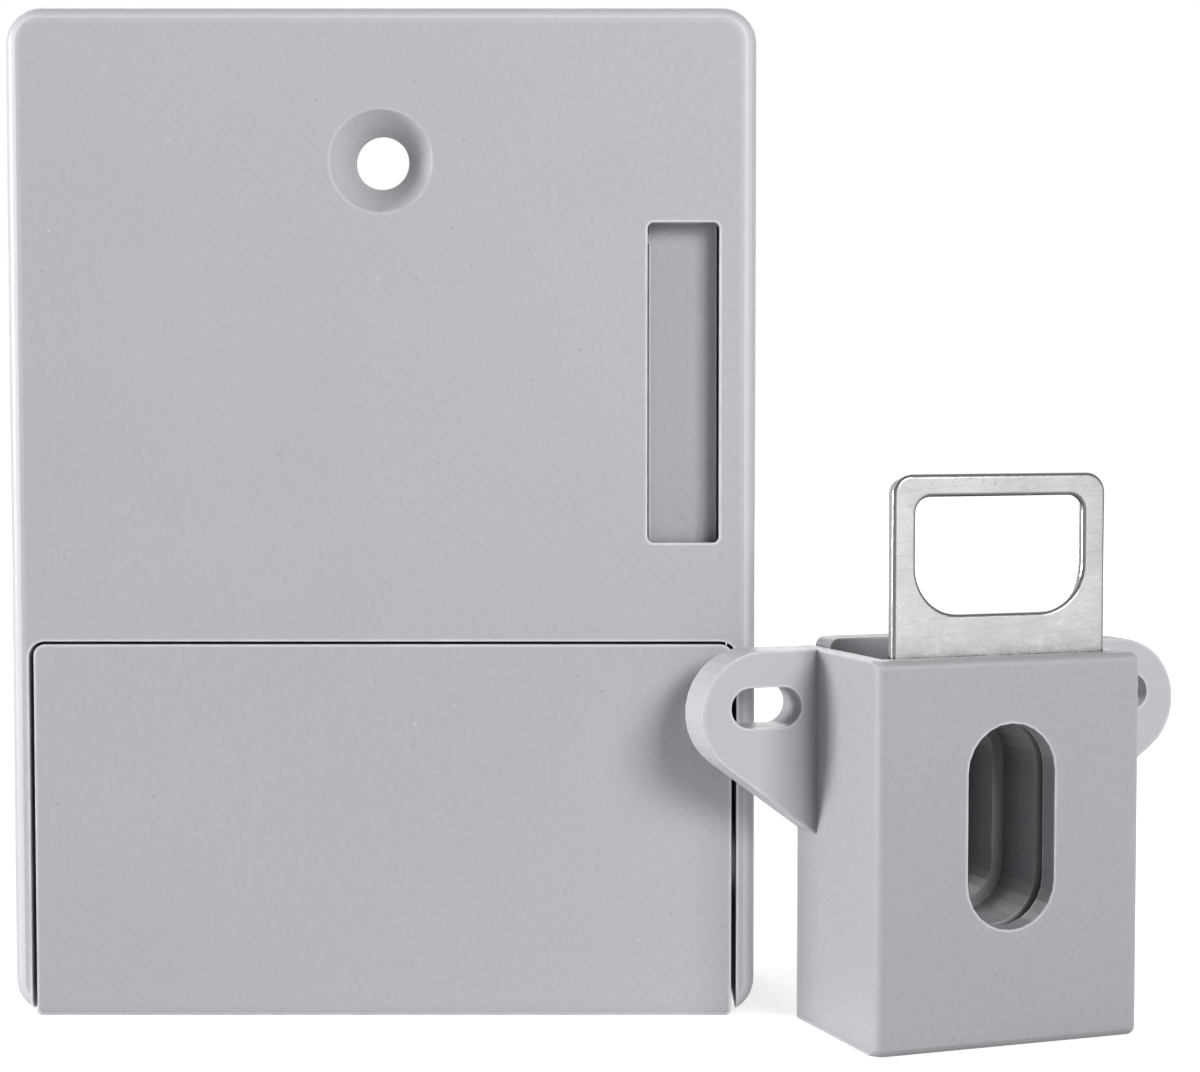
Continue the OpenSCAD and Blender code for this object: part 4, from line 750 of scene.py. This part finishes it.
MOTOR_Z, MOTOR_R, SOCKET_GAP, SOCKET_HALF = 19.56, 6, 3.8, 2.3
MOTOR_TAB_OFF, MOTOR_TAB_GAP, MOTOR_SOCKET_SHARE = 3, 1.3, 0.4
socket_x, socket_z = on_board(MOTOR_SOCKET_SHARE, 0)[0], MOTOR_Z + MOTOR_R + SOCKET_GAP + SOCKET_HALF
tab_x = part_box("motor_end_cap")[0].x / MM
for side, finish in ((1, "red"), (-1, "dark")):
    x, out_x = socket_x - side * HALF_GAP, tab_x - MOTOR_TAB_GAP + side * HALF_GAP
    tab_z, over_z = MOTOR_Z + side * MOTOR_TAB_OFF, socket_z + SOCKET_HALF - side * HALF_GAP
    leads(f"motor_lead_{finish}", [[
        (tab_x, DRIVE_Y, tab_z), (out_x, DRIVE_Y, tab_z), (out_x, TURN_Y, over_z),
        (x, TURN_Y, over_z), (x, TURN_Y, socket_z), (x, END_Y, socket_z),
    ]], finish, "motor_leads")

BUTTON_NOTCH_X, BUTTON_LOW_Z, BUTTON_SOCKET_SHARES = 27.595, -15.0, (0.925, 0.06)
socket_x, socket_z = on_board(*BUTTON_SOCKET_SHARES)
runs = []
for side in (-1, 1):
    x, out_x = socket_x + side * HALF_GAP, BUTTON_NOTCH_X + side * HALF_GAP
    turn_y = TURN_Y - (side + 1) * HALF_GAP
    runs.append([(out_x, NOTCH_Y, BUTTON_LOW_Z), (out_x, NOTCH_Y, RISE_Z), (out_x, turn_y, RISE_Z),
                 (x, turn_y, RISE_Z), (x, turn_y, socket_z), (x, END_Y, socket_z)])
leads("button_lead_pair", runs, "white", "button_leads")


# Steel tongue and rivets, in the keeper's own frame and in millimetres
def arc(cx, cz, r, a, b, n=12):
    """Points of an arc about (cx, cz) from angle a to b in degrees."""
    turns = [math.radians(a + (b - a) * i / n) for i in range(n + 1)]
    return [(cx + r * math.cos(t), cz + r * math.sin(t)) for t in turns]


def round_box(x0, z0, x1, z1, low, high):
    """Outline of a box with one radius at its lower corners and one at its upper."""
    return (arc(x1 - high, z1 - high, high, 0, 90) + arc(x0 + high, z1 - high, high, 90, 180)
            + arc(x0 + low, z0 + low, low, 180, 270) + arc(x1 - low, z0 + low, low, 270, 360))


def oval(r, half, z):
    """Outline of an upright slot about height z."""
    return arc(0, z + half, r, 0, 180, 24) + arc(0, z - half, r, 180, 360, 24)


def plate(outlines, front, back, edge):
    """Punched plate in the x-z plane with tumbled edges."""
    curve = bpy.data.curves.new("plate_outline", "CURVE")
    curve.dimensions = "2D"
    curve.fill_mode = "BOTH"
    curve.extrude = ((back - front) / 2 - edge) * MM
    curve.bevel_depth = edge * MM
    curve.bevel_resolution = 4
    curve.offset = -edge * MM
    for points in outlines:
        spline = curve.splines.new("POLY")
        spline.points.add(len(points) - 1)
        for p, (x, z) in zip(spline.points, points):
            p.co = (x * MM, z * MM, 0, 1)
        spline.use_cyclic_u = True
    holder = bpy.data.objects.new("plate_outline", curve)
    scene.collection.objects.link(holder)
    bpy.context.view_layer.update()
    mesh = bpy.data.meshes.new_from_object(holder.evaluated_get(bpy.context.evaluated_depsgraph_get()))
    bpy.data.objects.remove(holder)
    # The outline's third axis becomes the plate's thickness
    mesh.transform(Matrix(((1, 0, 0, 0), (0, 0, -1, (front + back) / 2 * MM), (0, 1, 0, 0), (0, 0, 0, 1))))
    work = bmesh.new()
    work.from_mesh(mesh)
    bmesh.ops.remove_doubles(work, verts=work.verts, dist=1e-6)
    bmesh.ops.recalc_face_normals(work, faces=work.faces)
    work.to_mesh(mesh)
    work.free()
    return mesh


KEEPER_PLACE = (60.5, -34, -50)
TONGUE_FRONT, TONGUE_BACK, TONGUE_EDGE = 2.5, 3.8, 0.42
TONGUE_HALF, TONGUE_LOW, TONGUE_TOP, TONGUE_LOW_R, TONGUE_TOP_R = 11.35, 7, 54.5, 0.6, 2.0
EYE_HALF, EYE_LOW, EYE_TOP, EYE_LOW_R, EYE_TOP_R = 8.9, 41.2, 52.3, 4.5, 1.5
CLAMP_R, CLAMP_HALF, CLAMP_Z = 5.3, 5.25, 21.1
RIVET_X, RIVET_LOW, RIVET_HIGH, RIVET_HOLE_R = 7.9, 11.0, 33.6, 1.25
keeper = Matrix.Translation([c * MM for c in KEEPER_PLACE]) @ Matrix.Rotation(TURN, 4, "Z")
rivet_places = [(x, z) for x in (-RIVET_X, RIVET_X) for z in (RIVET_LOW, RIVET_HIGH)]
outlines = [round_box(-TONGUE_HALF, TONGUE_LOW, TONGUE_HALF, TONGUE_TOP, TONGUE_LOW_R, TONGUE_TOP_R)]
holes = [round_box(-EYE_HALF, EYE_LOW, EYE_HALF, EYE_TOP, EYE_LOW_R, EYE_TOP_R)]
holes.append(oval(CLAMP_R, CLAMP_HALF, CLAMP_Z))
holes += [arc(x, z, RIVET_HOLE_R, 0, 345, 23) for x, z in rivet_places]
outlines += [list(reversed(hole)) for hole in holes]
sheet = plate(outlines, TONGUE_FRONT, TONGUE_BACK, TONGUE_EDGE)
sheet.transform(keeper)
tongue = new_piece("tongue_sheet", sheet, "sheet", "tongue", "tongue_plate")
even = tongue.modifiers.new("edges", "WEIGHTED_NORMAL")
even.keep_sharp = False

RIVET_PROFILE = [(0, 0), (0, 1.2), (3.3, 1.2), (3.31, 1.68), (3.75, 1.5), (4.08, 0.9), (4.1, AXIS_R)]
rivet = turned(RIVET_PROFILE, edge=0.2, steps=24)
rivets = []
for x, z in rivet_places:
    at = keeper @ aim((x * MM, TONGUE_FRONT * MM, z * MM), BACKWARD)
    rivets.append(placed(rivet, at))
new_piece("rivet_set", mesh_from("rivet_set", rivets), "steel", "tongue", "tongue_rivets")


# Floor and world
def background(name, paper, lift):
    """Pale paper that keeps the object's shadow and reads white, by a share called lift near the object."""
    s = Shader(name)
    ray = s.add("ShaderNodeLightPath").outputs
    mirrored = s.maths("MAXIMUM", ray["Is Glossy Ray"], ray["Is Transmission Ray"])
    seen = s.maths("MAXIMUM", ray["Is Camera Ray"], mirrored)
    tone = s.mix(s.span(s.noise(8, 2), 0, 1, 0.3, 0.7), shade_of(paper, 0.99), paper)
    s.feed(s.bsdf, Base_Color=tone, Roughness=0.9, Specular_IOR_Level=0.0)
    s.bsdf.inputs["Emission Color"].default_value = (1, 1, 1, 1)
    away = s.add("ShaderNodeVectorMath", operation="LENGTH")
    s.link(s.coord, away.inputs[0])
    near, far = 0.12, 0.6
    grown = s.span(away.outputs["Value"], lift, 1.0, near, far)
    s.link(s.maths("MULTIPLY", seen, grown), s.bsdf.inputs["Emission Strength"])
    return s.mat


FLOOR_Z, FLOOR_HALF = -50 * MM, 6.0
corners = [(x * FLOOR_HALF, y * FLOOR_HALF, FLOOR_Z) for x, y in ((-1, -1), (1, -1), (1, 1), (-1, 1))]
floor_mesh = bpy.data.meshes.new("floor")
floor_mesh.from_pydata(corners, [], [(0, 1, 2, 3)])
floor_mesh.materials.append(background("pale_floor", (0.86, 0.86, 0.86), 0.68))
floor = bpy.data.objects.new("floor", floor_mesh)
scene.collection.objects.link(floor)


def studio(name):
    """World that is white to the camera and in reflections, and otherwise a faint pale light."""
    world = bpy.data.worlds.new(name)
    world.use_nodes = True
    tree = world.node_tree
    tree.nodes.clear()
    ray = tree.nodes.new("ShaderNodeLightPath")
    seen = ray.outputs["Is Camera Ray"]
    for socket in ("Is Glossy Ray", "Is Transmission Ray"):
        most = tree.nodes.new("ShaderNodeMath")
        most.operation = "MAXIMUM"
        tree.links.new(seen, most.inputs[0])
        tree.links.new(ray.outputs[socket], most.inputs[1])
        seen = most.outputs[0]
    blend = tree.nodes.new("ShaderNodeMixShader")
    tree.links.new(seen, blend.inputs[0])
    lights = [((0.95, 0.97, 1.0, 1), 0.08), ((1, 1, 1, 1), 1.0)]
    for socket, (color, strength) in zip(blend.inputs[1:], lights):
        light = tree.nodes.new("ShaderNodeBackground")
        light.inputs["Color"].default_value = color
        light.inputs["Strength"].default_value = strength
        tree.links.new(light.outputs[0], socket)
    out = tree.nodes.new("ShaderNodeOutputWorld")
    tree.links.new(blend.outputs[0], out.inputs[0])
    return world


scene.world = studio("studio")


# Soft lamps: place and size in metres, power in watts
MIDDLE = (0.02, -0.02, 0.0)


def softbox(name, place, size, power):
    """Rectangular lamp that faces the middle of the object."""
    lamp = bpy.data.lights.new(name, "AREA")
    lamp.shape = "RECTANGLE"
    lamp.size, lamp.size_y = size
    lamp.energy = power
    box = bpy.data.objects.new(name, lamp)
    scene.collection.objects.link(box)
    box.location = place
    box.rotation_mode = "QUATERNION"
    box.rotation_quaternion = (Vector(MIDDLE) - Vector(place)).to_track_quat("-Z", "Y")


softbox("key_light", (0.55, -0.82, 0.40), (0.4, 0.4), 7.6)
softbox("side_light", (-1.9, -0.12, 0.1), (0.48, 1.0), 56.0)
softbox("back_light", (-0.2, 0.9, 0.45), (0.8, 0.5), 5.0)

# Camera fitted to the lock's corners in the photograph, with its place in millimetres
PHOTO_W, FOCAL_PIXELS, SENSOR = 1200, 2609.3, 36
CAMERA_PLACE, CAMERA_DOWN = (21.57, -279, 11.39), 2.975
camera_data = bpy.data.cameras.new("camera")
camera_data.sensor_width = SENSOR
camera_data.lens = FOCAL_PIXELS * SENSOR / PHOTO_W
camera_data.clip_start, camera_data.clip_end = 0.01, 20
camera = bpy.data.objects.new("camera", camera_data)
scene.collection.objects.link(camera)
camera.location = [c * MM for c in CAMERA_PLACE]
camera.rotation_euler = (math.radians(90 - CAMERA_DOWN), 0, 0)
scene.camera = camera
